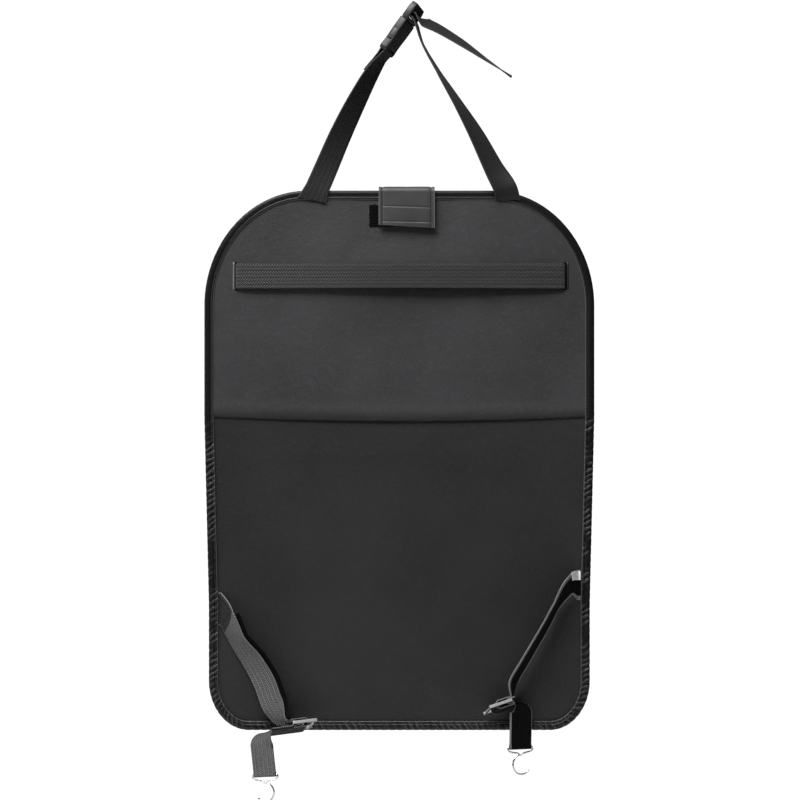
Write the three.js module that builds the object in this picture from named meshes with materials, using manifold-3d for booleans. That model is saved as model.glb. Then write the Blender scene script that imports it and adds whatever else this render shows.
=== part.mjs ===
// A car seat back organizer, in millimetres, seen from the side that lies against the seat.
// +X is to the right and +Z up. That side faces -Y and its lower panel lies on the plane Y = 0.
// The origin is the middle of the back panel, and the pockets are on the +Y side.
import * as THREE from 'three';
import { mergeVertices } from 'three/addons/utils/BufferGeometryUtils.js';
import Module from 'manifold-3d';

const wasm = await Module();
wasm.setup();

// Clearances
const gap = 0.3;
const layerGap = 0.4;

// Panel outline
const panelHeight = 566.5;
const upperHalfWidth = 204.8;
const lowerHalfWidth = 200;
const taperTopZ = 46;
const taperBottomZ = -152;
const topCornerWidth = 108;
const topCornerHeight = 121;
const bottomCornerWidth = 42;
const bottomCornerHeight = 52;
const cornerSteps = 14;

// Sheets of the panel, from the seat side to the pocket side
const sheetThickness = 1;
const boardThickness = 3;
const boardMargin = 9;
const hemZ = 46;
const hemSag = 5;
const hemOverlap = 30;
const bindingThickness = 0.9;
const bindingWidth = 9.5;

// Webbing
const strapWidth = 25.4;
const strapThickness = 1.4;
const bandWidth = 26.4;
const bandThickness = 1.4;

// Closing tab of the tablet sleeve, folded over the top edge
const tabWidth = 58.8;
const tabCentreX = 7.7;
const tabThickness = 1.8;
const tabBackLength = 40;
const tabFrontLength = 42;
const tabEndTilt = 3.3;
const tabBend = 2;
const patchThickness = 1.2;
const patchWidth = 50;
const patchHeight = 23;
const loopPatchShiftX = -13.2;
const patchTopDrop = 15;

// Band across the upper back
const bandDrop = 89.95;
const bandLeftInset = 33.5;
const bandRightInset = 31.5;
const bandSlitHeight = 28.4;
const bandSlitWidth = 2.4;
const bandLift = 3.4;
const rimWidth = 2.6;
const rimHeight = 0.9;

// Top straps
const leftRootX = -91;
const rightRootX = 114;
const strapSeat = 10;
const strapReturn = 32;
const loopDrop = 3.5;
const rootFlat = 3;
const tailLength = 122.8;

// Side release buckle on the top straps
const buckleWidth = 32;
const socketLength = 40;
const socketThickness = 8;
const plugLength = 19.7;
const plugThickness = 7;
const buckleStartX = -14.6;
const buckleRise = 144.95;
const buckleLean = 35.8;
const buckleTurn = 72;
const barRadius = 1.5;
const ladderBarAt = 48;
const socketBarAt = 2;
const armWidth = 3.4;
const armThickness = 4.4;
const windowStart = 13;
const windowEnd = 27;
const buckleWaist = 1.2;
const buckleWall = 2.6;
const ladderSlot = 1.2;
const socketSlot = 3;
const plugLip = 3.2;

// Sliders on the lower straps
const sliderWidth = 32;
const sliderLength = 25.5;
const sliderBarPitch = 10.5;
const railWidth = 2.6;
const sliderStandOff = 21.5;
const leftSliderInset = 99;
const leftSliderRise = 8;
const leftSeamRise = 127.3;
const rightSliderInset = 97.4;
const rightSliderRise = 26.8;
const rightSeamRise = 152.3;

// Wire hooks
const wireDiameter = 1.9;
const hookBarLength = 29.4;
const hookCorner = 1.6;
const hookShoulder = 4.4;
const hookNeck = 7.4;
const hookCurlShift = -2;
const hookCurl = 10.4;
const hookCurlStart = 86;
const hookCurlDegrees = 235;

// Care label stub in the right side seam, lying on the strap's root
const labelHeight = 9.5;
const labelThickness = 0.3;
const labelShift = -10;
const labelFrames = 7;

// Pockets on the hidden side
const sleeveSideInset = 86.8;
const sleeveTopDrop = 20;
const sleeveHeight = 201;
const sleeveDepth = 12;
const windowMargin = 24;
const windowLap = 6;
const windowSheet = 0.5;
const pocketSpacing = 15;
const middleHeight = 140;
const middleSideInset = 12;
const middleInnerX = 5;
const middleDepth = 19;
const bottomHeight = 154;
const bottomSideInset = 34;
const bottomDepth = 25;
const pocketCorner = 16;
const mouthBindingHeight = 9;

// Places that follow from the sizes above
const panelTop = panelHeight / 2;
const panelBottom = -panelHeight / 2;
const upperPanelY = -gap - sheetThickness;
const boardY = sheetThickness + gap;
const frontPanelY = boardY + boardThickness + gap;
const frontFaceY = frontPanelY + sheetThickness;
const bindingBackY = upperPanelY - gap - bindingThickness;
const bindingFrontY = frontFaceY + gap + bindingThickness;
const pocketY = frontFaceY + gap;
const rootY = bindingBackY - gap - strapThickness / 2;
const loopRadius = barRadius + gap + strapThickness / 2;
const bandZ = panelTop - bandDrop;
const bandLeftX = bandLeftInset - upperHalfWidth;
const bandRightX = upperHalfWidth - bandRightInset;
const sleeveHalfWidth = upperHalfWidth - sleeveSideInset;
const sleeveTopZ = panelTop - sleeveTopDrop;
const sleeveBottomZ = sleeveTopZ - sleeveHeight;
const middleTopZ = sleeveBottomZ - pocketSpacing;
const middleBottomZ = middleTopZ - middleHeight;
const middleOuterX = lowerHalfWidth - middleSideInset;
const bottomTopZ = middleBottomZ - pocketSpacing;
const bottomBottomZ = bottomTopZ - bottomHeight;
const bottomHalfWidth = lowerHalfWidth - bottomSideInset;

// Finishes
function finish(color, roughness, metalness) {
  return new THREE.MeshStandardMaterial({ color, roughness, metalness });
}
const upperLeather = finish(0x2b2b2e, 0.52, 0);
const lowerLeather = finish(0x222225, 0.55, 0);
const bindingCloth = finish(0x1a1a1c, 0.6, 0);
const webbing = finish(0x141416, 0.8, 0);
const foam = finish(0x3c3c3e, 0.9, 0);
const fuzz = finish(0x101012, 0.95, 0);
const bucklePlastic = finish(0x4a4a4c, 0.45, 0);
const sliderPlastic = finish(0x0d0d0e, 0.25, 0);
const steel = finish(0xc9ccd0, 0.2, 1);
const clearFilm = finish(0xdfe6ea, 0.08, 0);
const labelCloth = finish(0xf2f2f0, 0.85, 0);

// Solids for joins and cuts
function solidFrom(geometry) {
  const bare = geometry.index ? geometry.toNonIndexed() : geometry.clone();
  bare.deleteAttribute('normal');
  bare.deleteAttribute('uv');
  const merged = mergeVertices(bare, 1e-4);
  return new wasm.Manifold(new wasm.Mesh({
    numProp: 3,
    vertProperties: merged.attributes.position.array,
    triVerts: new Uint32Array(merged.index.array),
  }));
}

function geometryFrom(solid) {
  const mesh = solid.getMesh();
  const geometry = new THREE.BufferGeometry();
  geometry.setAttribute('position', new THREE.BufferAttribute(mesh.vertProperties, 3));
  geometry.setIndex(new THREE.BufferAttribute(mesh.triVerts, 1));
  geometry.computeVertexNormals();
  return geometry;
}

function boxSolid(low, high) {
  const size = high.map((value, axis) => value - low[axis]);
  const box = new THREE.BoxGeometry(...size);
  box.translate(...low.map((value, axis) => value + size[axis] / 2));
  return solidFrom(box);
}

// A shape drawn in X and Z, standing from Y = backY to Y = frontY
function standing(shape, backY, frontY) {
  const settings = { depth: frontY - backY, bevelEnabled: false, curveSegments: cornerSteps };
  const geometry = new THREE.ExtrudeGeometry(shape, settings);
  geometry.rotateX(Math.PI / 2);
  geometry.translate(0, frontY, 0);
  return solidFrom(geometry);
}

function named(name, geometry, material) {
  const mesh = new THREE.Mesh(geometry, material);
  mesh.name = name;
  return mesh;
}

// The panel's outline, drawn smaller by the inset all round
function panelOutline(inset) {
  const shape = new THREE.Shape();
  const top = panelTop - inset;
  const bottom = panelBottom + inset;
  const upper = upperHalfWidth - inset;
  const lower = lowerHalfWidth - inset;
  const topCorner = [topCornerWidth - inset, topCornerHeight - inset];
  const bottomCorner = [bottomCornerWidth - inset, bottomCornerHeight - inset];
  const quarter = Math.PI / 2;
  const leftBottom = [-lower + bottomCorner[0], bottom + bottomCorner[1]];
  const leftTop = [-upper + topCorner[0], top - topCorner[1]];
  shape.moveTo(lower - bottomCorner[0], bottom);
  shape.absellipse(-leftBottom[0], leftBottom[1], ...bottomCorner, -quarter, 0, false);
  shape.lineTo(lower, taperBottomZ);
  shape.lineTo(upper, taperTopZ);
  shape.absellipse(-leftTop[0], leftTop[1], ...topCorner, 0, quarter, false);
  shape.absellipse(leftTop[0], leftTop[1], ...topCorner, quarter, 2 * quarter, false);
  shape.lineTo(-upper, taperTopZ);
  shape.lineTo(-lower, taperBottomZ);
  shape.absellipse(leftBottom[0], leftBottom[1], ...bottomCorner, 2 * quarter, 3 * quarter, false);
  return shape;
}

function panelPlate(inset, backY, frontY) {
  return standing(panelOutline(inset), backY, frontY);
}

const sheetInset = bindingThickness + gap;
const reach = panelHeight;

// Everything above the sagging hem line
function aboveHem(backY, frontY) {
  const shape = new THREE.Shape();
  shape.moveTo(-reach, hemZ);
  shape.lineTo(-upperHalfWidth, hemZ);
  shape.quadraticCurveTo(0, hemZ - 2 * hemSag, upperHalfWidth, hemZ);
  shape.lineTo(reach, hemZ);
  shape.lineTo(reach, reach);
  shape.lineTo(-reach, reach);
  return standing(shape, backY, frontY);
}

function backPanelLower() {
  const plate = panelPlate(sheetInset, 0, sheetThickness);
  const lowPart = boxSolid([-reach, -reach, -reach], [reach, reach, hemZ + hemOverlap]);
  return named('back_panel_lower', geometryFrom(plate.intersect(lowPart)), lowerLeather);
}

function bandSlit(x) {
  const halfWidth = bandSlitWidth / 2;
  const halfHeight = bandSlitHeight / 2;
  return boxSolid([x - halfWidth, -reach, bandZ - halfHeight], [x + halfWidth, reach, bandZ + halfHeight]);
}

// The raised lip of leather beside each band slit
function slitRim(x, side) {
  const inner = x + side * bandSlitWidth / 2;
  const outer = inner + side * rimWidth;
  const halfHeight = bandSlitHeight / 2;
  const low = [Math.min(inner, outer), upperPanelY - rimHeight, bandZ - halfHeight];
  const high = [Math.max(inner, outer), upperPanelY + sheetThickness / 2, bandZ + halfHeight];
  return boxSolid(low, high);
}

function backPanelUpper() {
  const backY = upperPanelY;
  const frontY = upperPanelY + sheetThickness;
  const plate = panelPlate(sheetInset, backY, frontY).intersect(aboveHem(backY - 1, frontY + 1));
  const rimmed = plate.add(slitRim(bandLeftX, -1)).add(slitRim(bandRightX, 1));
  const slit = rimmed.subtract(bandSlit(bandLeftX)).subtract(bandSlit(bandRightX));
  return named('back_panel_upper', geometryFrom(slit), upperLeather);
}

function stiffenerBoard() {
  const plate = panelPlate(boardMargin, boardY, boardY + boardThickness);
  return named('stiffener_board', geometryFrom(plate), foam);
}

function frontPanel() {
  const plate = panelPlate(sheetInset, frontPanelY, frontFaceY);
  return named('front_panel', geometryFrom(plate), upperLeather);
}

// A folded tape that wraps the edge of the whole stack
function edgeRing() {
  const outside = panelPlate(0, bindingBackY, bindingFrontY);
  const stack = panelPlate(bindingThickness, bindingBackY + bindingThickness, frontFaceY + gap);
  const face = panelPlate(bindingWidth, bindingBackY - 1, bindingFrontY + 1);
  return outside.subtract(stack).subtract(face);
}

function bindings() {
  const ring = edgeRing();
  const low = panelTop - topCornerHeight / 2;
  const between = boxSolid([leftRootX, -reach, low], [rightRootX, reach, reach]);
  const narrower = boxSolid([leftRootX + gap, -reach, low], [rightRootX - gap, reach, reach]);
  return [
    named('edge_binding', geometryFrom(ring.subtract(between)), bindingCloth),
    named('top_binding', geometryFrom(ring.intersect(narrower)), bindingCloth),
  ];
}

// Ribbon frames: a place, the width direction and the normal, with travel = width x normal
class Frame {
  constructor(place, width, normal) {
    this.place = place;
    this.width = width;
    this.normal = normal;
  }

  static along(place, travel, width) {
    const normal = travel.clone().cross(width).normalize();
    return new Frame(place, width.clone(), normal);
  }

  get travel() {
    return this.width.clone().cross(this.normal).normalize();
  }

  get turn() {
    const width = this.width.clone().normalize();
    const matrix = new THREE.Matrix4().makeBasis(width, this.normal, this.travel);
    return new THREE.Quaternion().setFromRotationMatrix(matrix);
  }

  // The same frame, moved along travel and the normal
  moved(forward, out) {
    const place = this.place.clone();
    place.addScaledVector(this.travel, forward).addScaledVector(this.normal, out);
    return new Frame(place, this.width.clone(), this.normal.clone());
  }

  // The frame seen by a strap that comes back the other way
  reversed() {
    return new Frame(this.place.clone(), this.width.clone(), this.normal.clone().negate());
  }
}

const vector = (x, y, z) => new THREE.Vector3(x, y, z);

// Width direction of a strap that lies across the view and is turned about its own length
function turnedWidth(travel, degrees) {
  const flat = vector(travel.z, 0, -travel.x).normalize();
  const angle = THREE.MathUtils.degToRad(degrees);
  return flat.multiplyScalar(Math.cos(angle)).add(vector(0, Math.sin(angle), 0));
}

// A width direction turned square to the travel, at the same length
function squareTo(width, travel) {
  const length = width.length();
  return width.clone().addScaledVector(travel, -width.dot(travel)).setLength(length);
}

// Frames along a smooth curve through the given places, with the given widths
function curveFrames(stops, stepsPerSpan) {
  const curve = new THREE.CatmullRomCurve3(stops.map((stop) => stop.place), false, 'centripetal');
  const spans = stops.length - 1;
  const count = spans * stepsPerSpan;
  const frames = [];
  const widths = stops.map((stop, index) => {
    if (stop.oblique) return stop.width;
    return squareTo(stop.width, curve.getTangent(index / spans));
  });
  for (let step = 0; step <= count; step += 1) {
    const along = step / count;
    const span = Math.min(Math.floor(along * spans), spans - 1);
    const share = along * spans - span;
    const length = THREE.MathUtils.lerp(widths[span].length(), widths[span + 1].length(), share);
    const blend = widths[span].clone().lerp(widths[span + 1], share).setLength(length);
    const travel = curve.getTangent(along);
    const width = stops[span].oblique ? blend : squareTo(blend, travel);
    frames.push(Frame.along(curve.getPoint(along), travel, width));
  }
  return frames;
}

// Frames that turn evenly from one frame to another direction over a length
function turningFrames(start, endTurn, length, steps) {
  const frames = [];
  const startTurn = start.turn;
  const place = start.place.clone();
  for (let step = 1; step <= steps; step += 1) {
    const middle = startTurn.clone().slerp(endTurn, (step - 0.5) / steps);
    place.addScaledVector(vector(0, 0, 1).applyQuaternion(middle), length / steps);
    const turn = startTurn.clone().slerp(endTurn, step / steps);
    frames.push(new Frame(
      place.clone(),
      vector(1, 0, 0).applyQuaternion(turn),
      vector(0, 1, 0).applyQuaternion(turn),
    ));
  }
  return frames;
}

// A half turn about a bar at this radius. The normal points away from the bar, or at it if inward.
function barFrames(start, radius, inward, steps) {
  const frames = [];
  const side = inward ? -1 : 1;
  const centre = start.place.clone().addScaledVector(start.normal, -side * radius);
  const axis = start.width.clone().normalize();
  for (let step = 0; step <= steps; step += 1) {
    const angle = side * Math.PI * step / steps;
    const normal = start.normal.clone().applyAxisAngle(axis, angle);
    const place = centre.clone().addScaledVector(normal, side * radius);
    frames.push(new Frame(place, start.width.clone(), normal));
  }
  return frames;
}

// A flat strap whose sections follow the frames
function ribbon(frames, width, thickness) {
  const last = frames.length - 1;
  const geometry = new THREE.BoxGeometry(1, 1, 1, 1, 1, last);
  const position = geometry.attributes.position;
  for (let index = 0; index < position.count; index += 1) {
    const frame = frames[Math.round((position.getZ(index) + 0.5) * last)];
    const point = frame.place.clone();
    point.addScaledVector(frame.width, position.getX(index) * width);
    point.addScaledVector(frame.normal, position.getY(index) * thickness);
    position.setXYZ(index, point.x, point.y, point.z);
  }
  geometry.computeVertexNormals();
  return geometry;
}

// The band across the upper back, from slit to slit
function backBand() {
  const restY = upperPanelY - gap - bandThickness / 2;
  const insideY = boardY - gap;
  const bend = rimHeight + gap + bandThickness;
  const up = vector(0, 0, 1);
  const stop = (x, y, turn = up) => ({ place: vector(x, y, bandZ), width: turn });
  const rimY = upperPanelY - rimHeight;
  const frames = curveFrames([
    stop(bandLeftX, insideY),
    stop(bandLeftX, rimY),
    stop(bandLeftX + bend, restY - bandThickness),
    stop(bandLeftX + (bandRightX - bandLeftX) * 0.25, restY - bandLift * 0.3),
    stop(bandLeftX + (bandRightX - bandLeftX) * 0.55, restY - bandLift),
    stop(bandLeftX + (bandRightX - bandLeftX) * 0.8, restY - bandLift * 0.9),
    stop(bandRightX - bend, restY - bandThickness),
    stop(bandRightX, rimY),
    stop(bandRightX, insideY),
  ], 5);
  return named('back_band', ribbon(frames, bandWidth, bandThickness), webbing);
}

const tabBackY = upperPanelY - 3 * gap - 2 * patchThickness;
const sleeveFaceY = pocketY + sleeveDepth;
const tabFrontY = sleeveFaceY + gap + bindingThickness + gap;

// A side view in Y and Z, as wide as asked along X
function across(profile, startX, width) {
  const settings = { depth: width, bevelEnabled: false, curveSegments: 4 };
  const geometry = new THREE.ExtrudeGeometry(profile, settings);
  geometry.rotateX(Math.PI / 2);
  geometry.rotateZ(Math.PI / 2);
  geometry.translate(startX, 0, 0);
  return solidFrom(geometry);
}

function tabBlock(outset, width) {
  const shape = new THREE.Shape();
  const backY = tabBackY - outset;
  const frontY = tabFrontY + outset;
  const top = panelTop + gap + outset;
  const bend = tabBend + outset;
  const low = panelTop - 2 * tabBackLength;
  shape.moveTo(backY, low);
  shape.lineTo(frontY, low);
  shape.lineTo(frontY, top - bend);
  shape.quadraticCurveTo(frontY, top, frontY - bend, top);
  shape.lineTo(backY + bend, top);
  shape.quadraticCurveTo(backY, top, backY, top - bend);
  return across(shape, tabCentreX - width / 2, width);
}

// A big block whose upper face is the tilted lower end of the tab's back leg
function belowTab() {
  const box = new THREE.BoxGeometry(reach, reach, reach);
  box.translate(0, -reach / 2 + (tabBackY + tabFrontY) / 2, -reach / 2);
  box.rotateY(THREE.MathUtils.degToRad(tabEndTilt));
  box.translate(tabCentreX, 0, panelTop - tabBackLength + tabThickness);
  return solidFrom(box);
}

function closingTab() {
  const inside = tabBlock(0, tabWidth + 2);
  const shell = tabBlock(tabThickness, tabWidth).subtract(inside);
  const low = panelTop - reach;
  const middleY = (tabBackY + tabFrontY) / 2;
  const frontCut = boxSolid([-reach, middleY, low], [reach, reach, panelTop - tabFrontLength]);
  const tab = shell.subtract(belowTab()).subtract(frontCut);
  return named('closing_tab', geometryFrom(tab), upperLeather);
}

function gripPatches() {
  const top = panelTop - patchTopDrop;
  const patch = (centreX, frontY) => boxSolid(
    [centreX - patchWidth / 2, frontY - patchThickness, top - patchHeight],
    [centreX + patchWidth / 2, frontY, top],
  );
  const loopY = upperPanelY - gap;
  const hookY = loopY - patchThickness - gap;
  return [
    named('loop_patch', geometryFrom(patch(tabCentreX + loopPatchShiftX, loopY)), fuzz),
    named('hook_patch', geometryFrom(patch(tabCentreX, hookY)), fuzz),
  ];
}

// Buckle
const buckleAxis = vector(
  Math.sin(THREE.MathUtils.degToRad(buckleLean)),
  0,
  Math.cos(THREE.MathUtils.degToRad(buckleLean)),
);
const buckleAcross = turnedWidth(buckleAxis, buckleTurn);
const buckleFace = buckleAcross.clone().cross(buckleAxis).normalize();
const buckleStart = vector(buckleStartX, 0, panelTop + buckleRise);

function bucklePlace(along, out) {
  return buckleStart.clone().addScaledVector(buckleAxis, along).addScaledVector(buckleFace, out);
}

// Turns a solid built with its length along Z and its broad face along Y into the buckle's place
function inBuckle(name, solid) {
  const mesh = named(name, geometryFrom(solid), bucklePlastic);
  const matrix = new THREE.Matrix4().makeBasis(buckleAcross.clone().negate(), buckleFace, buckleAxis);
  mesh.quaternion.setFromRotationMatrix(matrix);
  mesh.position.copy(buckleStart);
  return mesh;
}

function roundBar(length, radius) {
  const bar = new THREE.CylinderGeometry(radius, radius, length, 10);
  bar.rotateZ(Math.PI / 2);
  return solidFrom(bar);
}

// A plate outline in X and Z with a waist, extruded through the buckle's thickness
function bucklePlate(outline, thickness) {
  const shape = new THREE.Shape();
  shape.moveTo(...outline[0]);
  for (const point of outline.slice(1)) shape.lineTo(...point);
  for (const [x, z] of outline.slice().reverse()) shape.lineTo(-x, z);
  const bevel = 1;
  const geometry = new THREE.ExtrudeGeometry(shape, {
    depth: thickness - 2 * bevel,
    bevelThickness: bevel,
    bevelSize: bevel,
    bevelOffset: -bevel,
    bevelSegments: 2,
  });
  geometry.rotateX(Math.PI / 2);
  geometry.translate(0, thickness / 2 - bevel, 0);
  return solidFrom(geometry);
}

function centredBox(halfX, halfY, lowZ, highZ) {
  return boxSolid([-halfX, -halfY, lowZ], [halfX, halfY, highZ]);
}

function buckleSocket() {
  const half = buckleWidth / 2;
  const slotHalf = strapWidth / 2 + layerGap;
  const slotEnd = socketBarAt + barRadius + socketSlot;
  const body = bucklePlate([
    [half - 2, gap],
    [half, socketBarAt + 2],
    [half - buckleWaist, windowStart - 2],
    [half, windowEnd],
    [half, socketLength - 1],
    [half - 1, socketLength],
  ], socketThickness);
  const slot = centredBox(slotHalf, reach, -reach, slotEnd);
  const bar = roundBar(2 * slotHalf + 1, barRadius).translate([0, 0, socketBarAt]);
  const hollow = centredBox(half - buckleWall, armThickness / 2 + gap, windowStart - 1, reach);
  const windows = centredBox(reach, armThickness / 2 + gap, windowStart, windowEnd);
  const window = windows.subtract(centredBox(half - armWidth - buckleWall + 1, reach, 0, reach));
  return inBuckle('buckle_socket', body.subtract(slot).add(bar).subtract(hollow).subtract(window));
}

function bucklePlug() {
  const half = buckleWidth / 2;
  const start = socketLength + gap;
  const end = start + plugLength;
  const slotHalf = strapWidth / 2 + layerGap;
  const body = bucklePlate([
    [half - 1, start],
    [half, start + 1.5],
    [half, end - 5],
    [half - 2.5, end],
  ], plugThickness);
  const slotEnd = ladderBarAt + barRadius + strapThickness + ladderSlot;
  const slots = centredBox(slotHalf, reach, start + plugLip, slotEnd);
  const bar = roundBar(2 * slotHalf + 1, barRadius).translate([0, 0, ladderBarAt]);
  const tongue = centredBox(2.4, armThickness / 2, windowStart + 4, start + 1);
  const halfThick = armThickness / 2;
  const armX = half - buckleWall - 1 - armWidth;
  const headX = half - 2 * gap;
  const arm = (side) => {
    const stemX = side > 0 ? armX : -armX - armWidth;
    const headLow = side > 0 ? armX : -headX;
    const headHigh = side > 0 ? headX : -armX;
    const stem = boxSolid([stemX, -halfThick, windowStart + 1], [stemX + armWidth, halfThick, start + 1]);
    const head = boxSolid([headLow, -halfThick, windowStart + 1], [headHigh, halfThick, windowEnd - 2 * gap]);
    return stem.add(head);
  };
  return inBuckle('buckle_plug', body.subtract(slots).add(bar).add(tongue).add(arm(1)).add(arm(-1)));
}

// The start of a top strap, sewn flat on the top binding with its end cut level
function rootStop(x, widthX, widthZ) {
  const place = vector(x, rootY, panelTop - strapSeat);
  return { place, width: vector(widthX, 0, widthZ), oblique: true };
}

// A place on the way from a strap's foot to the buckle, set off sideways and in depth by small bends
function strapStop(foot, buckleEnd, share, bow, lift, degrees) {
  const travel = buckleEnd.clone().sub(foot).setY(0).normalize();
  const place = foot.clone().lerp(buckleEnd, share).add(vector(bow, lift, 0));
  return { place, width: turnedWidth(travel, degrees) };
}

function topStrapLeft() {
  const foot = vector(leftRootX, rootY, panelTop);
  const loopTop = bucklePlace(socketBarAt, loopRadius);
  const route = curveFrames([
    rootStop(leftRootX - 1, 1.14, -0.22),
    strapStop(foot, buckleStart, 0.01, 4, -1.4, 4),
    strapStop(foot, buckleStart, 0.159, 2, -0.4, 14),
    strapStop(foot, buckleStart, 0.396, -1.4, 0, 26),
    strapStop(foot, buckleStart, 0.634, -3, 0, 40),
    strapStop(foot, buckleStart, 0.85, -2.6, 0, 56),
    { place: bucklePlace(socketBarAt - 9, 1.2), width: buckleAcross },
    { place: loopTop, width: buckleAcross },
  ], 7);
  const bar = barFrames(route.at(-1), loopRadius, true, 10);
  const layerOffset = strapThickness + layerGap;
  const back = route
    .filter((frame) => frame.place.distanceTo(loopTop) > 7 && frame.place.distanceTo(loopTop) < strapReturn)
    .reverse()
    .map((frame) => {
      const spread = Math.max(0, 1 - (frame.place.distanceTo(loopTop) - 7) / 10);
      return frame.moved(0, layerOffset + 1.6 * spread).reversed();
    });
  return named('top_strap_left', ribbon([...route, ...bar.slice(1), ...back], strapWidth, strapThickness), webbing);
}

// A place on the strap's free tail, which leaves the ladder bar and sags to the right
function tailStop(ladder, share, bow, degrees) {
  const travel = vector(0.871, 0, -0.491);
  const place = ladder.clone().addScaledVector(travel, share * tailLength);
  place.add(vector(-travel.z, 0, travel.x).multiplyScalar(bow)).setY(rootY + gap);
  return { place, width: turnedWidth(travel, 180 - degrees) };
}

function topStrapRight() {
  const foot = vector(rightRootX, rootY, panelTop);
  const ladder = bucklePlace(ladderBarAt, 0);
  const legIn = bucklePlace(ladderBarAt - loopRadius, plugThickness / 2 + 1.5);
  const legInside = bucklePlace(ladderBarAt - loopRadius, 0);
  const route = curveFrames([
    rootStop(rightRootX, 1.02, 0),
    strapStop(foot, ladder, 0.006, -2.4, -4.5, 18),
    strapStop(foot, ladder, 0.13, -2.4, -2.5, 46),
    strapStop(foot, ladder, 0.315, -1.1, -1, 57),
    strapStop(foot, ladder, 0.499, -2.4, -0.7, 72),
    strapStop(foot, ladder, 0.684, -4.8, 0, 79),
    strapStop(foot, ladder, 0.839, -5.3, -1.4, 84),
    { place: legIn, width: buckleAcross },
    { place: legInside, width: buckleAcross },
  ], 6);
  const bar = barFrames(new Frame(legInside, buckleAcross, buckleAxis.clone().negate()), loopRadius, false, 10);
  const legOut = bucklePlace(ladderBarAt + loopRadius, 0);
  const free = curveFrames([
    { place: legOut, width: buckleAcross },
    { place: bucklePlace(ladderBarAt + loopRadius, plugThickness / 2 + 2), width: buckleAcross },
    tailStop(ladder, 0.131, 0.1, 66),
    tailStop(ladder, 0.245, 0.9, 67),
    tailStop(ladder, 0.485, 0, 70),
    tailStop(ladder, 0.733, -2.7, 80),
    tailStop(ladder, 1, -5.3, 88),
  ], 6);
  const all = [...route, ...bar.slice(1), ...free.slice(1)];
  return named('top_strap_right', ribbon(all, strapWidth, strapThickness), webbing);
}

// Sliders. Each has three bars along its width and lies in a frame of its own.
function sliderFrame(centre, outward, barDirection) {
  const across = barDirection.clone().normalize();
  const travel = outward.clone().addScaledVector(across, -outward.dot(across)).normalize();
  const face = travel.clone().cross(across).normalize();
  const up = face.z > 0 ? face : face.negate();
  return { centre, travel, across, up };
}

function sliderMesh(name, place) {
  const halfWidth = sliderWidth / 2;
  const halfLength = sliderLength / 2;
  const slotHalf = halfWidth - railWidth;
  let body = centredBox(halfWidth, barRadius, -halfLength, halfLength);
  body = body.subtract(centredBox(slotHalf, reach, -reach, reach));
  for (const along of [-sliderBarPitch, 0, sliderBarPitch]) {
    body = body.add(roundBar(2 * slotHalf + 1, barRadius).translate([0, 0, along]));
  }
  const mesh = named(name, geometryFrom(body), sliderPlastic);
  const matrix = new THREE.Matrix4().makeBasis(
    place.up.clone().cross(place.travel),
    place.up,
    place.travel,
  );
  mesh.quaternion.setFromRotationMatrix(matrix);
  mesh.position.copy(place.centre);
  return mesh;
}

// A place in a slider's frame: along its travel, and out on its upper face
function onSlider(place, along, out) {
  return place.centre.clone().addScaledVector(place.travel, along).addScaledVector(place.up, out);
}

// One lower strap: out of the side seam, round the slider's middle bar, down to the hook and back
// to the slider's outer bar. The hanging part is two layers of the same strap.
function lowerStrap(name, settings) {
  const { place, width, seam, stops, run, turnLength, hangTravel, hangTurn, hangLength } = settings;
  const inward = vector(-Math.sign(seam.place.x), 0, 0);
  const flat = { ...seam, place: seam.place.clone().addScaledVector(inward, rootFlat) };
  const outerRadius = loopRadius + strapThickness + gap;
  const sewn = Frame.along(seam.place, inward, seam.width);
  const arriving = curveFrames([
    flat,
    ...stops,
    { place: onSlider(place, sliderLength / 2 + 5, outerRadius), width },
    { place: onSlider(place, sliderBarPitch, outerRadius), width },
    { place: onSlider(place, 0, outerRadius), width },
  ], 6);
  arriving.unshift(sewn);
  const around = barFrames(arriving.at(-1), outerRadius, true, 12);
  const innerOffset = -(loopRadius + outerRadius) / 2;
  const exit = Frame.along(onSlider(place, 0, innerOffset), place.travel, width);
  const turned = vector(1, 0, 0).applyAxisAngle(vector(0, 0, 1), THREE.MathUtils.degToRad(hangTurn));
  const hang = Frame.along(vector(0, 0, 0), hangTravel, squareTo(turned, hangTravel));
  const straight = [sliderLength / 2 - 1, sliderLength / 2 + run].map((along) => exit.moved(along, 0));
  const turning = turningFrames(straight.at(-1), hang.turn, turnLength, 12);
  const hanging = [0.3, 0.6, 1].map((share) => turning.at(-1).moved(hangLength * share, 0));
  const base = [...straight, ...turning, ...hanging];
  const half = (strapThickness + gap) / 2;
  const below = base.map((frame) => frame.moved(0, -half));
  const above = base.map((frame) => frame.moved(0, half).reversed()).reverse();
  const hookLoop = wireDiameter / 2 + gap + strapThickness / 2;
  const foot = base.at(-1).moved(loopDrop, -hookLoop);
  const loop = barFrames(foot, hookLoop, true, 10);
  const home = Frame.along(onSlider(place, sliderBarPitch, -loopRadius), place.travel.clone().negate(), width);
  const homeLoop = barFrames(home, loopRadius, false, 10);
  const end = homeLoop.at(-1).moved(7, 0);
  const frames = [...arriving, ...around.slice(1), ...below, ...loop, ...above, ...homeLoop, end];
  return {
    strap: named(name, ribbon(frames, strapWidth, strapThickness), webbing),
    hookFrame: base.at(-1).moved(loopDrop, 0),
    seamFrames: arriving.slice(0, labelFrames),
  };
}

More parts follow.
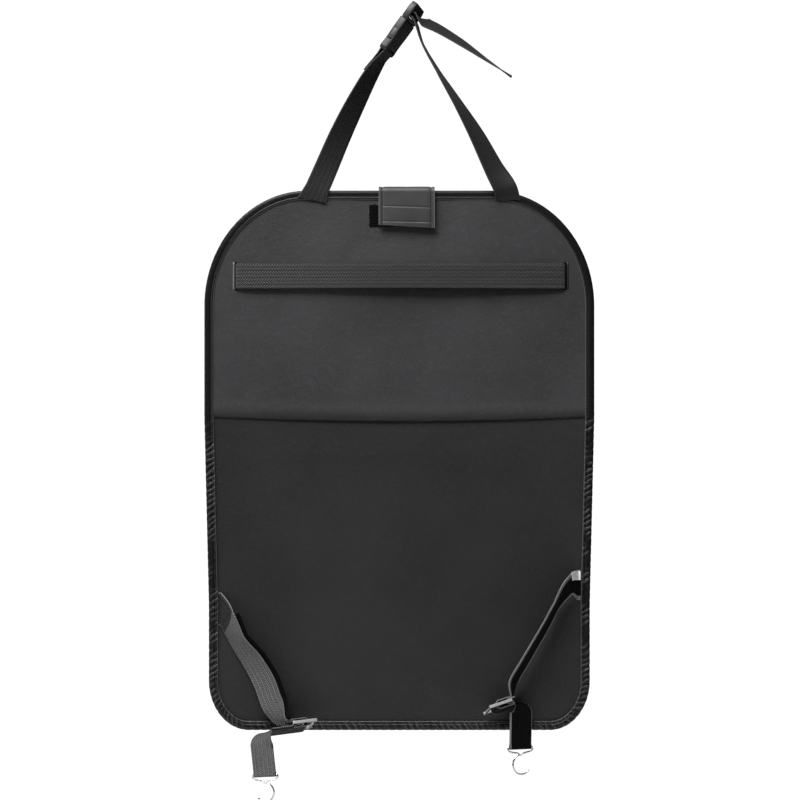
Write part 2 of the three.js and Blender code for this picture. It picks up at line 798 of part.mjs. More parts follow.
// A wire hook: a bar in the strap's loop, two shoulders and one round hook below
function wireHook(name, frame, side) {
  const radius = wireDiameter / 2;
  const half = hookBarLength / 2;
  const neckX = radius + gap;
  const points = [
    [neckX, hookNeck - 0.6],
    [half - hookCorner, hookShoulder],
    [half, 1.7 * hookCorner],
    [half - 0.4 * hookCorner, 0.4],
    [half - 1.4 * hookCorner, 0],
    [0, 0],
    [-half + 1.4 * hookCorner, 0],
    [-half + 0.4 * hookCorner, 0.4],
    [-half, 1.7 * hookCorner],
    [-half + hookCorner, hookShoulder],
    [-neckX - 1.5, hookNeck - 0.4],
    [-neckX + 0.2, hookNeck + 1.1],
  ];
  const curlCentre = [hookCurlShift, hookNeck + hookCurl + 0.4];
  const curlSteps = 16;
  for (let step = 1; step <= curlSteps; step += 1) {
    const angle = THREE.MathUtils.degToRad(hookCurlStart - step * (hookCurlDegrees / curlSteps));
    points.push([
      curlCentre[0] + hookCurl * Math.cos(angle),
      curlCentre[1] - hookCurl * Math.sin(angle),
    ]);
  }
  const path = new THREE.CatmullRomCurve3(
    points.map(([x, down]) => vector(side * x, 0, -down)),
    false,
    'centripetal',
  );
  const section = new THREE.Shape();
  section.absarc(0, 0, radius, 0, 2 * Math.PI, false);
  const geometry = new THREE.ExtrudeGeometry(section, { steps: 76, extrudePath: path, curveSegments: 4 });
  const mesh = named(name, geometry, steel);
  const up = frame.travel.clone().negate();
  const matrix = new THREE.Matrix4().makeBasis(frame.width.clone().normalize(), up.clone().cross(frame.width), up);
  mesh.quaternion.setFromRotationMatrix(matrix);
  mesh.position.copy(frame.place);
  return mesh;
}

// A place measured from a lower corner of the panel: inwards, out from the back, and up
function fromCorner(side, inwards, out, up) {
  return vector(side * (lowerHalfWidth - inwards), -out, panelBottom + up);
}

// Where a lower strap leaves the side seam
const seamInset = bindingWidth + layerGap;

function seamStop(side, up, width) {
  const place = fromCorner(side, seamInset, gap + strapThickness / 2, up);
  return { place, width: vector(0, 0, width), oblique: true };
}

// A place on the way from the seam to the slider, bowed inwards and standing out from the back
function wayStop(side, seamRise, slider, share, bow, out, width) {
  const inset = THREE.MathUtils.lerp(seamInset, slider.inset, share) + bow;
  const up = THREE.MathUtils.lerp(seamRise, slider.rise, share);
  return { place: fromCorner(side, inset, out, up), width };
}

function lowerLeft() {
  const slider = { inset: leftSliderInset, rise: leftSliderRise };
  const centre = fromCorner(-1, slider.inset, sliderStandOff, slider.rise);
  const place = sliderFrame(centre, vector(-0.964, -0.247, -0.099), vector(-0.2, 0.915, -0.35));
  const lean = vector(0.45, 0, -0.89);
  const stop = (share, bow, out, degrees) => (
    wayStop(-1, leftSeamRise, slider, share, bow, out, turnedWidth(lean, degrees).negate())
  );
  const made = lowerStrap('lower_strap_left', {
    place,
    width: place.across.clone().negate(),
    seam: seamStop(-1, leftSeamRise, 1.35),
    stops: [
      stop(0.084, 2.6, 10.5, 42),
      stop(0.274, -3.6, 11, 46),
      stop(0.453, -4.2, 10, 30),
      stop(0.633, -7.8, 12, 20),
      stop(0.834, -16, 17, 20),
    ],
    run: 22,
    turnLength: 18,
    hangTravel: vector(0.106, 0, -0.994),
    hangTurn: -25,
    hangLength: 28,
  });
  return [made.strap, sliderMesh('slider_left', place), wireHook('wire_hook_left', made.hookFrame, 1)];
}

function lowerRight() {
  const slider = { inset: rightSliderInset, rise: rightSliderRise };
  const centre = fromCorner(1, slider.inset, sliderStandOff, slider.rise);
  const place = sliderFrame(centre, vector(0.921, 0.277, 0.275), vector(-0.18, 0.927, -0.328));
  const lean = vector(-0.509, 0, -0.861);
  const stop = (share, bow, out, degrees) => (
    wayStop(1, rightSeamRise, slider, share, bow, out, turnedWidth(lean, degrees).negate())
  );
  const made = lowerStrap('lower_strap_right', {
    place,
    width: place.across.clone(),
    seam: seamStop(1, rightSeamRise, -1.25),
    stops: [
      stop(0, 10.6, 11.5, -48),
      stop(0.167, 11.2, 15, -68),
      stop(0.326, 8, 16, -66),
      stop(0.635, 3.6, 18, -64),
      stop(0.789, 1, 19, -62),
    ],
    run: 2,
    turnLength: 14,
    hangTravel: vector(-0.02, 0, -1),
    hangTurn: 28,
    hangLength: 33,
  });
  return [
    made.strap,
    sliderMesh('slider_right', place),
    wireHook('wire_hook_right', made.hookFrame, -1),
    seamLabel(made.seamFrames),
  ];
}

// A bare folded label that lies on the strap where both are sewn into the seam
function seamLabel(frames) {
  const out = strapThickness / 2 + gap + labelThickness / 2;
  const shifted = frames.map((frame) => {
    const onStrap = frame.moved(0, out);
    const across = onStrap.width.normalize();
    onStrap.place.addScaledVector(across, labelShift);
    return onStrap;
  });
  return named('seam_label', ribbon(shifted, labelHeight, labelThickness), labelCloth);
}

// Pockets. Each is one folded sheet, open at the top and against the front panel.
function pouchBlock(x0, x1, z0, z1, corner, depth) {
  const shape = new THREE.Shape();
  shape.moveTo(x0 + corner, z0);
  shape.lineTo(x1 - corner, z0);
  shape.absellipse(x1 - corner, z0 + corner, corner, corner, -Math.PI / 2, 0, false);
  shape.lineTo(x1, z1);
  shape.lineTo(x0, z1);
  shape.absellipse(x0 + corner, z0 + corner, corner, corner, Math.PI, 1.5 * Math.PI, false);
  return standing(shape, pocketY - 1, pocketY + depth);
}

function pouch(x0, x1, z0, z1, depth) {
  const wall = sheetThickness;
  const outside = pouchBlock(x0, x1, z0, z1, pocketCorner, depth);
  const inside = pouchBlock(x0 + wall, x1 - wall, z0 + wall, z1 + reach, pocketCorner - wall, depth - wall);
  const behind = boxSolid([-reach, -reach, -reach], [reach, pocketY, reach]);
  return outside.subtract(inside).subtract(behind);
}

// A folded tape over the top hem of a pocket's face
function mouthBinding(name, x0, x1, top, depth) {
  const inner = pocketY + depth - sheetThickness - gap;
  const outer = pocketY + depth + gap;
  const start = x0 + sheetThickness + layerGap;
  const end = x1 - sheetThickness - layerGap;
  const low = top - mouthBindingHeight;
  const tape = boxSolid(
    [start, inner - bindingThickness, low],
    [end, outer + bindingThickness, top + gap + bindingThickness],
  );
  const hem = boxSolid([-reach, inner, -reach], [reach, outer, top + gap]);
  return named(name, geometryFrom(tape.subtract(hem)), bindingCloth);
}

function tabletSleeve() {
  const low = sleeveBottomZ + windowMargin;
  const high = sleeveTopZ - windowMargin;
  const half = sleeveHalfWidth - windowMargin;
  const opening = boxSolid([-half, pocketY + sheetThickness, low], [half, reach, high]);
  const cover = pouch(-sleeveHalfWidth, sleeveHalfWidth, sleeveBottomZ, sleeveTopZ, sleeveDepth);
  const filmY = sleeveFaceY - sheetThickness - gap;
  const film = boxSolid(
    [-half - windowLap, filmY - windowSheet, low - windowLap],
    [half + windowLap, filmY, high + windowLap],
  );
  return [
    named('tablet_sleeve', geometryFrom(cover.subtract(opening)), upperLeather),
    named('sleeve_window', geometryFrom(film), clearFilm),
    mouthBinding('sleeve_binding', -sleeveHalfWidth, sleeveHalfWidth, sleeveTopZ, sleeveDepth),
  ];
}

function pocketSet(name, x0, x1, z0, z1, depth) {
  return [
    named(name, geometryFrom(pouch(x0, x1, z0, z1, depth)), upperLeather),
    mouthBinding(name + '_binding', x0, x1, z1, depth),
  ];
}

const organizer = new THREE.Group();
organizer.add(
  backPanelLower(),
  backPanelUpper(),
  stiffenerBoard(),
  frontPanel(),
  ...bindings(),
  backBand(),
  closingTab(),
  ...gripPatches(),
  buckleSocket(),
  bucklePlug(),
  topStrapLeft(),
  topStrapRight(),
  ...lowerLeft(),
  ...lowerRight(),
  ...tabletSleeve(),
  ...pocketSet('middle_pocket_left', -middleOuterX, -middleInnerX, middleBottomZ, middleTopZ, middleDepth),
  ...pocketSet('middle_pocket_right', middleInnerX, middleOuterX, middleBottomZ, middleTopZ, middleDepth),
  ...pocketSet(
    'bottom_pocket',
    -bottomHalfWidth,
    bottomHalfWidth,
    bottomBottomZ,
    bottomTopZ,
    bottomDepth,
  ),
);

export default organizer;
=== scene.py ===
# %% [markdown]
# A car seat back organizer, seen from the side that lies against the seat. The solids come from a
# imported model, and this lesson dresses them: every sheet, strap and moulding gets its real surface.
# The scene is in metres, +Z is up, and the photographed side faces -Y. The sizes of the pieces are
# written in millimetres, as a maker measures them, and MM turns them into metres.

# %% Load the solids
import math
import bpy
from mathutils import Matrix, Quaternion, Vector, noise


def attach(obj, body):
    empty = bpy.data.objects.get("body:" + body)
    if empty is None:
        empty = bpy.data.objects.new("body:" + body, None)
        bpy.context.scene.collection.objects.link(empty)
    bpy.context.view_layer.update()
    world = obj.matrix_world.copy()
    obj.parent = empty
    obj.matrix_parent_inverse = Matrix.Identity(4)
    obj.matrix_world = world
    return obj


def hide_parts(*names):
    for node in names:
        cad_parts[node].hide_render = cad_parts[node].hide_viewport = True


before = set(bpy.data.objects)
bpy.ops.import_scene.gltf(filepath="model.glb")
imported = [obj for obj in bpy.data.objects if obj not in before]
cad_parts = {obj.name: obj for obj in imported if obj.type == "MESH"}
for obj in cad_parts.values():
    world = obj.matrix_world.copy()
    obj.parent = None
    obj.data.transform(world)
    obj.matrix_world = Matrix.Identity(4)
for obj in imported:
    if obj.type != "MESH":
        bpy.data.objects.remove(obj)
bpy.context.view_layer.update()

MM = 0.001
ROOT = "organizer"

# %% [markdown]
# The photograph looks straight at the back, from far away, so the camera is a long lens on the -Y side.
# A long lens could be had by typing a focal length and trying. Here it follows from two sizes that can
# be measured: the distance, and the 840 mm that the picture takes in at the panel.

# %% Camera
CAMERA_DISTANCE = 3.0
VIEW_WIDTH = 0.84
SENSOR = 36.0
PICTURE_MIDDLE = (0.0007, 0.0633)

camera_data = bpy.data.cameras.new("camera")
camera_data.sensor_width = SENSOR
camera_data.lens = SENSOR * CAMERA_DISTANCE / VIEW_WIDTH
camera = bpy.data.objects.new("camera", camera_data)
camera.location = (PICTURE_MIDDLE[0], -CAMERA_DISTANCE, PICTURE_MIDDLE[1])
camera.rotation_euler = (math.pi / 2, 0, 0)
bpy.context.scene.collection.objects.link(camera)
bpy.context.scene.camera = camera
bpy.context.scene.view_settings.view_transform = "Standard"
print("lens:", round(camera_data.lens, 1), "mm")

# %% [markdown]
# Black leather shows its shape by soft highlights, so the light comes from large soft boxes. The key
# light hangs above and in front, which leaves a dark line under the hem and the band. A weak one on the
# left catches the edges of the straps, and one behind is for the pocket side.


# %% Lights
def soft_light(name, place, size, power):
    """A square soft box that looks at the middle of the panel."""
    data = bpy.data.lights.new(name, "AREA")
    data.shape = "SQUARE"
    data.size = size
    data.energy = power
    light = bpy.data.objects.new(name, data)
    light.location = place
    light.rotation_euler = (-Vector(place)).to_track_quat("-Z", "Y").to_euler()
    bpy.context.scene.collection.objects.link(light)


soft_light("key_light", (-0.7, -1.4, 2.3), 1.5, 122)
soft_light("left_light", (-2.4, -1.0, 0.4), 0.6, 11)
soft_light("pocket_light", (-0.9, 2.4, 1.3), 1.4, 44)
print("lights:", len(bpy.data.lights))

# %% [markdown]
# Nodes can be placed one by one, but shader arithmetic reads best as arithmetic. A Wire wraps a socket,
# and each operator on it adds the Math node that does the sum.


# %% Shader arithmetic
class Wire:
    """A socket that takes part in ordinary arithmetic."""

    def __init__(self, finish, socket):
        self.finish = finish
        self.socket = socket

    def math(self, operation, *values):
        inputs = dict(enumerate(values))
        return self.finish.node("ShaderNodeMath", {"operation": operation}, inputs)

    def __add__(self, other):
        return self.math("ADD", self, other)

    def __sub__(self, other):
        return self.math("SUBTRACT", self, other)

    def __rsub__(self, other):
        return self.math("SUBTRACT", other, self)

    def __mul__(self, other):
        return self.math("MULTIPLY", self, other)

    def __truediv__(self, other):
        return self.math("DIVIDE", self, other)

    def __mod__(self, other):
        return self.math("FLOORED_MODULO", self, other)

    __radd__ = __add__
    __rmul__ = __mul__

    def floor(self):
        return self.math("FLOOR", self)

    def wave(self):
        """A smooth wave from 0 to 1 that repeats at every whole number."""
        return self.math("SINE", self * (2 * math.pi)) * 0.5 + 0.5

    def step(self, low, high):
        """0 below low, 1 above high, and smooth between."""
        settings = {"interpolation_type": "SMOOTHSTEP"}
        return self.finish.node("ShaderNodeMapRange", settings, {"Value": self, 1: low, 2: high})


# %% [markdown]
# A Finish is one material. What is the same all over is set on the shader's own sockets when it is made,
# and what changes over the surface is fed in later. Any node comes from one method, node.


# %% One material
class Finish:
    """One material, with its shader and the nodes that feed it."""

    def __init__(self, name, **constants):
        self.material = bpy.data.materials.new(name)
        self.material.use_nodes = True
        self.tree = self.material.node_tree
        self.tree.nodes.clear()
        self.shader = self.tree.nodes.new("ShaderNodeBsdfPrincipled")
        output = self.tree.nodes.new("ShaderNodeOutputMaterial")
        self.tree.links.new(self.shader.outputs[0], output.inputs[0])
        self.set(**constants)

    def node(self, kind, settings=None, inputs=None, output=0):
        """A node with its settings, the values or wires of its inputs, and one output as a Wire."""
        made = self.tree.nodes.new(kind)
        for name, value in (settings or {}).items():
            setattr(made, name, value)
        for name, value in (inputs or {}).items():
            self.feed(made.inputs[name], value)
        return Wire(self, made.outputs[output])

    def feed(self, socket, value):
        if isinstance(value, Wire):
            self.tree.links.new(value.socket, socket)
        else:
            socket.default_value = value

    def set(self, **sockets):
        """Feeds the shader's sockets. An underscore stands for a space in a socket's name."""
        for name, value in sockets.items():
            self.feed(self.shader.inputs[name.replace("_", " ")], value)

    def place(self):
        """Object coordinates, in metres."""
        return self.node("ShaderNodeTexCoord", output=3)

    def across_and_along(self):
        """The piece's own UV map, kept in metres: across it and along it."""
        flat = self.node("ShaderNodeTexCoord", output=2)
        across = self.node("ShaderNodeSeparateXYZ", inputs={0: flat})
        return across, Wire(self, across.socket.node.outputs[1])

    def noise(self, scale, detail=2.0):
        """Clouds of a size of about 1 / scale metres."""
        inputs = {"Vector": self.place(), "Scale": scale, "Detail": detail}
        return self.node("ShaderNodeTexNoise", inputs=inputs)

    def cells(self, scale, feature="F1"):
        """Pebbles of a size of about 1 / scale metres."""
        inputs = {"Vector": self.place(), "Scale": scale}
        return self.node("ShaderNodeTexVoronoi", {"feature": feature}, inputs)

    def mix(self, factor, first, second):
        """The first colour where the factor is 0, and the second where it is 1."""
        inputs = {0: factor, 6: first, 7: second}
        return self.node("ShaderNodeMix", {"data_type": "RGBA"}, inputs, output=2)

    def bump(self, height, depth, strength=1.0):
        """Relief without geometry: a height from 0 to 1 stands for depth metres."""
        inputs = {"Height": height, "Distance": depth, "Strength": strength}
        self.set(Normal=self.node("ShaderNodeBump", inputs=inputs))


def grey(tone, blue=1.0):
    """A neutral colour, with its blue a little stronger where blue is above 1."""
    return (tone, tone, tone * blue, 1.0)


# %% [markdown]
# The photograph has a plain white ground. A white world would also light the leather from all sides and
# leave it flat, so the world is white to the camera alone. To every other ray it is dim, and dimmer
# below than above, as in a studio with a dark floor.

# %% The world
WHITE_GROUND = 1.05
DIM_BELOW, DIM_ABOVE = 0.02, 0.13
DIM_FROM, DIM_TO = -0.3, 0.5
world = bpy.data.worlds.new("studio")
bpy.context.scene.world = world
world.use_nodes = True
sky = world.node_tree
background = sky.nodes["Background"]
direction = sky.nodes.new("ShaderNodeTexCoord")
split_direction = sky.nodes.new("ShaderNodeSeparateXYZ")
brightness = sky.nodes.new("ShaderNodeMapRange")
background.inputs["Color"].default_value = (1, 1, 1, 1)
for socket, value in (
        ("From Min", DIM_FROM), ("From Max", DIM_TO), ("To Min", DIM_BELOW), ("To Max", DIM_ABOVE)):
    brightness.inputs[socket].default_value = value
seen = sky.nodes.new("ShaderNodeLightPath")
strength = sky.nodes.new("ShaderNodeMix")
strength.inputs["B"].default_value = WHITE_GROUND
sky.links.new(direction.outputs["Generated"], split_direction.inputs[0])
sky.links.new(split_direction.outputs["Z"], brightness.inputs["Value"])
sky.links.new(seen.outputs["Is Camera Ray"], strength.inputs["Factor"])
sky.links.new(brightness.outputs[0], strength.inputs["A"])
sky.links.new(strength.outputs[0], background.inputs["Strength"])
print("world:", world.name, "with", len(sky.nodes), "nodes")

# %% [markdown]
# The floor isn't part of the object. It is a pale disc well below the hooks, and it ends before it comes
# into the camera's view, because the photograph shows the organizer on plain white.

# %% The floor
FLOOR_HEIGHT = -0.5
bpy.ops.mesh.primitive_circle_add(vertices=96, radius=1.0, fill_type="NGON", location=(0, 0, FLOOR_HEIGHT))
floor = bpy.context.object
floor.name = "floor"
floor_paint = Finish("floor_paint", Roughness=0.7)
floor_paint.set(Base_Color=floor_paint.mix(floor_paint.noise(3.0), grey(0.8), grey(0.84)))
floor.data.materials.append(floor_paint.material)
print("floor at", FLOOR_HEIGHT, "m")

# %% [markdown]
# Both back sheets are artificial leather: a polyurethane skin on cloth, charcoal, with a fine pebble
# grain. Such grain could be modelled or photographed. Cell patterns in object space are enough at this
# distance, and they need no picture: small pebbles, the lines between larger ones, and soft creases. A
# slow cloud changes the tone a little, as handling does. The upper sheet is painted darker towards its
# free hem, a painted shade, and black along its last 2 mm, a painted shadow line under the hem, and its
# UV map says how far above the hem a place is.

# %% Leather
HEM_HEIGHT = 46.0
HEM_SAG = 5.0
# HEM_SHADE is the height of the painted shade above the hem, and the next pair that of the painted black
# shadow line at its edge, in metres on the UV map.
HEM_SHADE = 0.011
HEM_SHADOW_LINE = (0.0011, 0.0019)
PEBBLES_PER_METRE = 1500.0


def leather(name, tone, roughness=0.5, shine=0.5, hem=None):
    """Leather of one tone. With a hem, the UV map's height of it in metres, the edge gets painted shade and a
    painted black shadow line.
    """
    made = Finish(name, Specular_IOR_Level=shine)
    cloud = made.noise(9.0, 3.0)
    creases = made.noise(190.0, 3.0)
    pebbles = made.cells(PEBBLES_PER_METRE, "SMOOTH_F1")
    fine = made.cells(PEBBLES_PER_METRE * 0.42, "DISTANCE_TO_EDGE").step(0.0, 0.14)
    colour = made.mix(cloud.step(0.3, 0.7), grey(tone * 0.84, 1.07), grey(tone * 1.18, 1.07))
    marked_colour = made.mix(creases.step(0.56, 0.7) * 0.35, colour, grey(tone * 1.7, 1.05))
    if hem is not None:
        # Painted shade: darker towards the hem, and a painted black shadow line along its edge.
        above_hem = made.across_and_along()[1] - hem
        marked_colour = made.mix(1.0 - above_hem.step(0.0, HEM_SHADE), marked_colour, grey(tone * 0.3, 1.04))
        marked_colour = made.mix(1.0 - above_hem.step(*HEM_SHADOW_LINE), marked_colour, grey(0.001))
    made.set(Base_Color=marked_colour, Roughness=cloud * 0.14 + (roughness - 0.07) - fine * 0.04)
    made.bump(pebbles * 0.35 + fine * 0.35 + creases * 1.3, 0.0004, 0.5)
    return made.material


UPPER_LEATHER = leather("upper_leather", 0.0255, 0.47, hem=(HEM_HEIGHT - HEM_SAG) * MM)
LOWER_LEATHER = leather("lower_leather", 0.0115, 0.50, shine=0.36)
FRONT_LEATHER = leather("front_leather", 0.028, 0.5)
print("leathers:", UPPER_LEATHER.name, LOWER_LEATHER.name, FRONT_LEATHER.name)

# %% [markdown]
# The edge tape is thinner and darker than the sheets, and a sewing machine has gathered it below the
# hem. The tops of the gathers are painted pale, a painted highlight, and so is a thin line along the
# tape's inner edge, where its raised edge catches the light. Its own UV map runs across the tape and
# along the edge, so the thread's groove and both painted highlights follow every corner, which a
# pattern in object space would not.


# %% Edge tape
FOLD_PITCH = 0.0062
FOLD_SLANT = 0.011


def tape(name, tone, groove_at, gathered_below=None):
    """Folded tape with a sewn groove, and gathers below a height in metres, with painted highlights on the
    gathers' tops and along the inner edge.
    """
    made = Finish(name, Specular_IOR_Level=0.25)
    across, along = made.across_and_along()
    distance = (across - groove_at).math("ABSOLUTE", across - groove_at)
    groove = distance.step(0.0002, 0.0011)
    cloud = made.noise(60.0, 3.0)
    grain = made.cells(1900.0)
    wear = made.noise(420.0, 2.0).step(0.55, 0.75)
    colour = made.mix(groove, grey(tone * 0.2, 1.04), grey(tone, 1.04))
    marked_colour = made.mix(wear * 0.5, colour, grey(tone * 3.0, 1.02))
    # Painted highlight: a pale line along the tape's inner edge.
    edge = across.step(0.0086, 0.0091)
    edged = made.mix(edge * 0.55, marked_colour, grey(0.11, 1.02))
    relief = groove * 1.2 + grain * 0.2 + cloud * 0.5
    if gathered_below is not None:
        height = made.node("ShaderNodeSeparateXYZ", inputs={0: made.place()}, output=2)
        low = 1.0 - height.step(gathered_below - 0.012, gathered_below + 0.004)
        drift = made.noise(55.0, 2.0) * 1.6
        ripple = (along / FOLD_PITCH + across / FOLD_SLANT + drift).wave()
        patchy = made.noise(48.0, 2.0).step(0.36, 0.62)
        folds = ripple.step(0.55, 0.98) * low * patchy
        # Painted highlight: the tops of the gathers are painted pale.
        edged = made.mix(folds * 0.6, edged, grey(0.065, 1.03))
        relief = relief + folds * 1.5
    made.set(Base_Color=edged, Roughness=cloud * 0.2 + 0.26)
    made.bump(relief, 0.0005, 0.8)
    return made.material


EDGE_TAPE = tape("edge_tape", 0.0045, 0.0066, gathered_below=0.044)
POCKET_TAPE = tape("pocket_tape", 0.016, 0.0074)
print("tapes:", EDGE_TAPE.name, POCKET_TAPE.name)

# %% [markdown]
# Webbing is woven in rows that lean one way and then the other, a herringbone. Real threads would cost
# millions of faces, so the weave is a pattern on the strap's own UV map. That map is in metres, and a
# row is 2.4 mm wide on the straps and 3.7 mm on the band, wherever they twist. The edge cords show as
# pale rims, which are partly painted highlight, broadest where a strap turns on edge. The photograph's
# straps differ in tone, so each has a webbing of its own, and these tones are painted light: lighter
# where a strap faces the light, near black where it is turned away or lies in shade, and darker along
# the band and the left top strap, a painted shade.

# %% Webbing
ROOT_SLANT = 0.6
RIM = (0.0010, 0.0004)
EDGE_HIGHLIGHT = (0.0042, 0.0030)


def webbing(name, tone, width, row=0.0024, pick=0.0021, edge=0.0, sheen=0.3, relief=0.0004,
            contrast=(0.4, 2.4), fade=None, haze=0.1, edge_highlight_until=None, painted_root_shadow=None):
    """Herringbone webbing. Contrast is the tone of its valleys and its knots, fade the stretch in which
    it gets darker, a painted shade, the rim limit the end of a broad pale rim, a painted highlight, and
    the root limit the end of a black foot, a painted shadow."""
    made = Finish(name, Specular_IOR_Level=sheen, Sheen_Weight=haze, Sheen_Roughness=0.5)
    across, along = made.across_and_along()
    rows = across / row
    side = (rows.floor() % 2.0) * 2.0 - 1.0
    lean = along / pick + side * across / pick
    threads = lean.wave()
    valley = (rows.math("FRACT", rows) - 0.5) * 2.0
    crown = 1.0 - valley * valley
    cloud = made.noise(34.0, 3.0)
    fuzz = made.noise(1500.0, 2.0)
    knots = threads * (crown * 0.7 + 0.3)
    light_part = knots * 0.85 + fuzz * 0.3 - 0.1
    colour = made.mix(light_part, grey(tone * contrast[0], 1.03), grey(tone * contrast[1], 1.03))
    soiled_and_shaded = made.mix(cloud.step(0.35, 0.75) * 0.25, colour, grey(tone * 1.7, 1.03))
    if fade:
        # Painted shade: darker along the strap, over the stretch given by fade.
        soiled_and_shaded = made.mix(along.step(*fade) * 0.6, soiled_and_shaded, grey(tone * 0.5, 1.03))
    half = width / 2
    centred = across - half
    rim = centred.math("ABSOLUTE", centred).step(half - RIM[0], half - RIM[1])
    # Painted highlight: a broad pale rim along the first stretch of the strap, where it turns on edge.
    if edge_highlight_until:
        edge_highlight = centred.math("ABSOLUTE", centred).step(half - EDGE_HIGHLIGHT[0], half - EDGE_HIGHLIGHT[1])
        rim = rim.math("MAXIMUM", rim, edge_highlight * (1.0 - along.step(edge_highlight_until, edge_highlight_until + 0.01)))
    if painted_root_shadow:
        # Painted shadow: the foot is painted black up to a slanted line.
        root = 1.0 - (along + across * ROOT_SLANT).step(painted_root_shadow - 0.0008, painted_root_shadow)
        soiled_and_shaded = made.mix(root * 0.97, soiled_and_shaded, grey(0.0008))
        rim = rim * (root * 0.8 + 0.2)
    # The pale rims are partly the edge cords' own colour and partly painted highlight.
    edged = made.mix(rim * edge, soiled_and_shaded, grey(0.30, 1.0))
    made.set(Base_Color=edged, Roughness=0.72 - knots * 0.3)
    made.bump(threads * 0.7 + crown * 0.4 + fuzz * 0.2, relief, 1.0)
    return made.material


STRAP = 0.0254
BAND = 0.0264
# The band gets darker along its length, a painted shade, and its knots are far paler than its valleys, partly
# the weave and partly painted glints.
BAND_WEB = webbing("band_webbing", 0.016, BAND, row=0.0037, pick=0.0028, edge=0.05, relief=0.0012,
                   contrast=(0.02, 6.5), fade=(0.02, 0.2))
# The left top strap gets darker towards the buckle, where it turns from the light, a painted shade.
LEFT_TOP_WEB = webbing("left_top_webbing", 0.012, STRAP, edge=0.12, relief=0.0002, contrast=(0.5, 2.0),
                       fade=(0.02, 0.09), haze=0.03)
RIGHT_TOP_WEB = webbing("right_top_webbing", 0.011, STRAP, edge=0.1, relief=0.0001, contrast=(0.75, 1.35),
                        haze=0.03)
# The left lower strap's copy is lighter, a painted highlight, with a black foot, a painted shadow. The right
# lower strap's copy is near black, a painted shade, with a broad pale rim where it turns on edge, a painted
# highlight. The near-black webbing below is painted shade.
LEFT_LIT_WEB = webbing("left_webbing_painted_light", 0.066, STRAP, edge=0.5, sheen=0.4, painted_root_shadow=0.032, haze=0.02,
                   relief=0.0006, contrast=(0.2, 2.8))
RIGHT_SHADED_WEB = webbing("right_webbing_painted_shade", 0.002, STRAP, edge=0.55, sheen=0.05, edge_highlight_until=0.155, haze=0.01)
SHADE_WEB = webbing("webbing_painted_shade", 0.0015, STRAP, edge=0.03, sheen=0.05, haze=0.0)
print("webbing on the straps is", STRAP, "m wide, on the band", BAND, "m")

# %% [markdown]
# The hard parts: satin dark grey plastic for the buckle, with its rounded edges painted paler, a painted
# highlight, glossy black for the sliders, with edges painted almost white, a painted highlight, and
# bright plated wire. One even colour would look like a drawing, and a moulding is never perfectly even,
# so each has clouds and scuffs in its colour and its roughness, and the wire has fine marks.


# %% Hard finishes
def moulded(name, tone, roughness, coat=0.0):
    made = Finish(name, Specular_IOR_Level=0.5, Coat_Weight=coat, Coat_Roughness=0.1)
    cloud = made.noise(240.0, 3.0)
    scuffs = made.noise(900.0, 1.0).step(0.62, 0.74)
    colour = made.mix(cloud, grey(tone * 0.85, 1.02), grey(tone * 1.15, 1.02))
    scuffed = made.mix(scuffs * 0.1, colour, grey(tone * 1.8 + 0.01, 1.0))
    made.set(Base_Color=scuffed, Roughness=cloud * 0.18 + (roughness - 0.09) + scuffs * 0.1)
    made.bump(cloud, 0.00005, 0.4)
    return made.material


def wire():
    made = Finish("plated_wire", Metallic=1.0)
    marks = made.noise(1300.0, 4.0)
    cloud = made.noise(160.0, 2.0)
    made.set(Base_Color=made.mix(cloud, (0.55, 0.56, 0.58, 1), (0.78, 0.79, 0.80, 1)))
    made.set(Roughness=marks * 0.16 + 0.12)
    made.bump(marks, 0.00005, 0.5)
    return made.material


GREY_PLASTIC = moulded("grey_plastic", 0.022, 0.5)
# Painted highlights: the paler finishes on the rounded edges of the buckle and of the sliders.
BUCKLE_EDGE_HIGHLIGHT = moulded("buckle_edge_highlight", 0.06, 0.4)
SLIDER_EDGE_HIGHLIGHT = moulded("slider_edge_highlight", 0.32, 0.3, coat=0.5)
BLACK_PLASTIC = moulded("black_plastic", 0.006, 0.3, coat=0.6)
PLATED_WIRE = wire()
print("hard finishes:", GREY_PLASTIC.name, BLACK_PLASTIC.name, PLATED_WIRE.name)

# %% [markdown]
# Small cloth finishes: the fuzzy half of the tab's fastening, sewing thread and the bare label. Hairs
# and twisted yarn could be modelled, but they are finer than a pixel here, so noise and bump do it.


# %% Small cloth finishes
def pile():
    made = Finish("loop_pile", Specular_IOR_Level=0.05, Sheen_Weight=0.03)
    hairs = made.noise(1700.0, 4.0)
    clumps = made.cells(700.0)
    made.set(Base_Color=made.mix(hairs, grey(0.001), grey(0.004)), Roughness=0.8 + hairs * 0.15)
    made.bump(hairs + clumps, 0.0012, 1.0)
    return made.material


def thread(name, tone):
    made = Finish(name, Specular_IOR_Level=0.4, Sheen_Weight=0.3)
    twist = made.noise(2400.0, 2.0)
    made.set(Base_Color=made.mix(twist, grey(tone * 0.6), grey(tone * 1.5)), Roughness=0.55 + twist * 0.2)
    made.bump(twist, 0.0002, 0.8)
    return made.material


def label_cloth():
    made = Finish("label_cloth", Specular_IOR_Level=0.2)
    weave = made.cells(1500.0)
    cloud = made.noise(260.0)
    made.set(Base_Color=made.mix(cloud, (0.74, 0.74, 0.72, 1), (0.92, 0.92, 0.90, 1)))
    made.set(Roughness=0.8 + weave * 0.1)
    made.bump(weave, 0.0002, 0.6)
    return made.material


LOOP_PILE = pile()
DARK_THREAD = thread("dark_thread", 0.010)
GREY_THREAD = thread("grey_thread", 0.045)
LABEL_CLOTH = label_cloth()
print("cloths:", LOOP_PILE.name, DARK_THREAD.name, GREY_THREAD.name, LABEL_CLOTH.name)

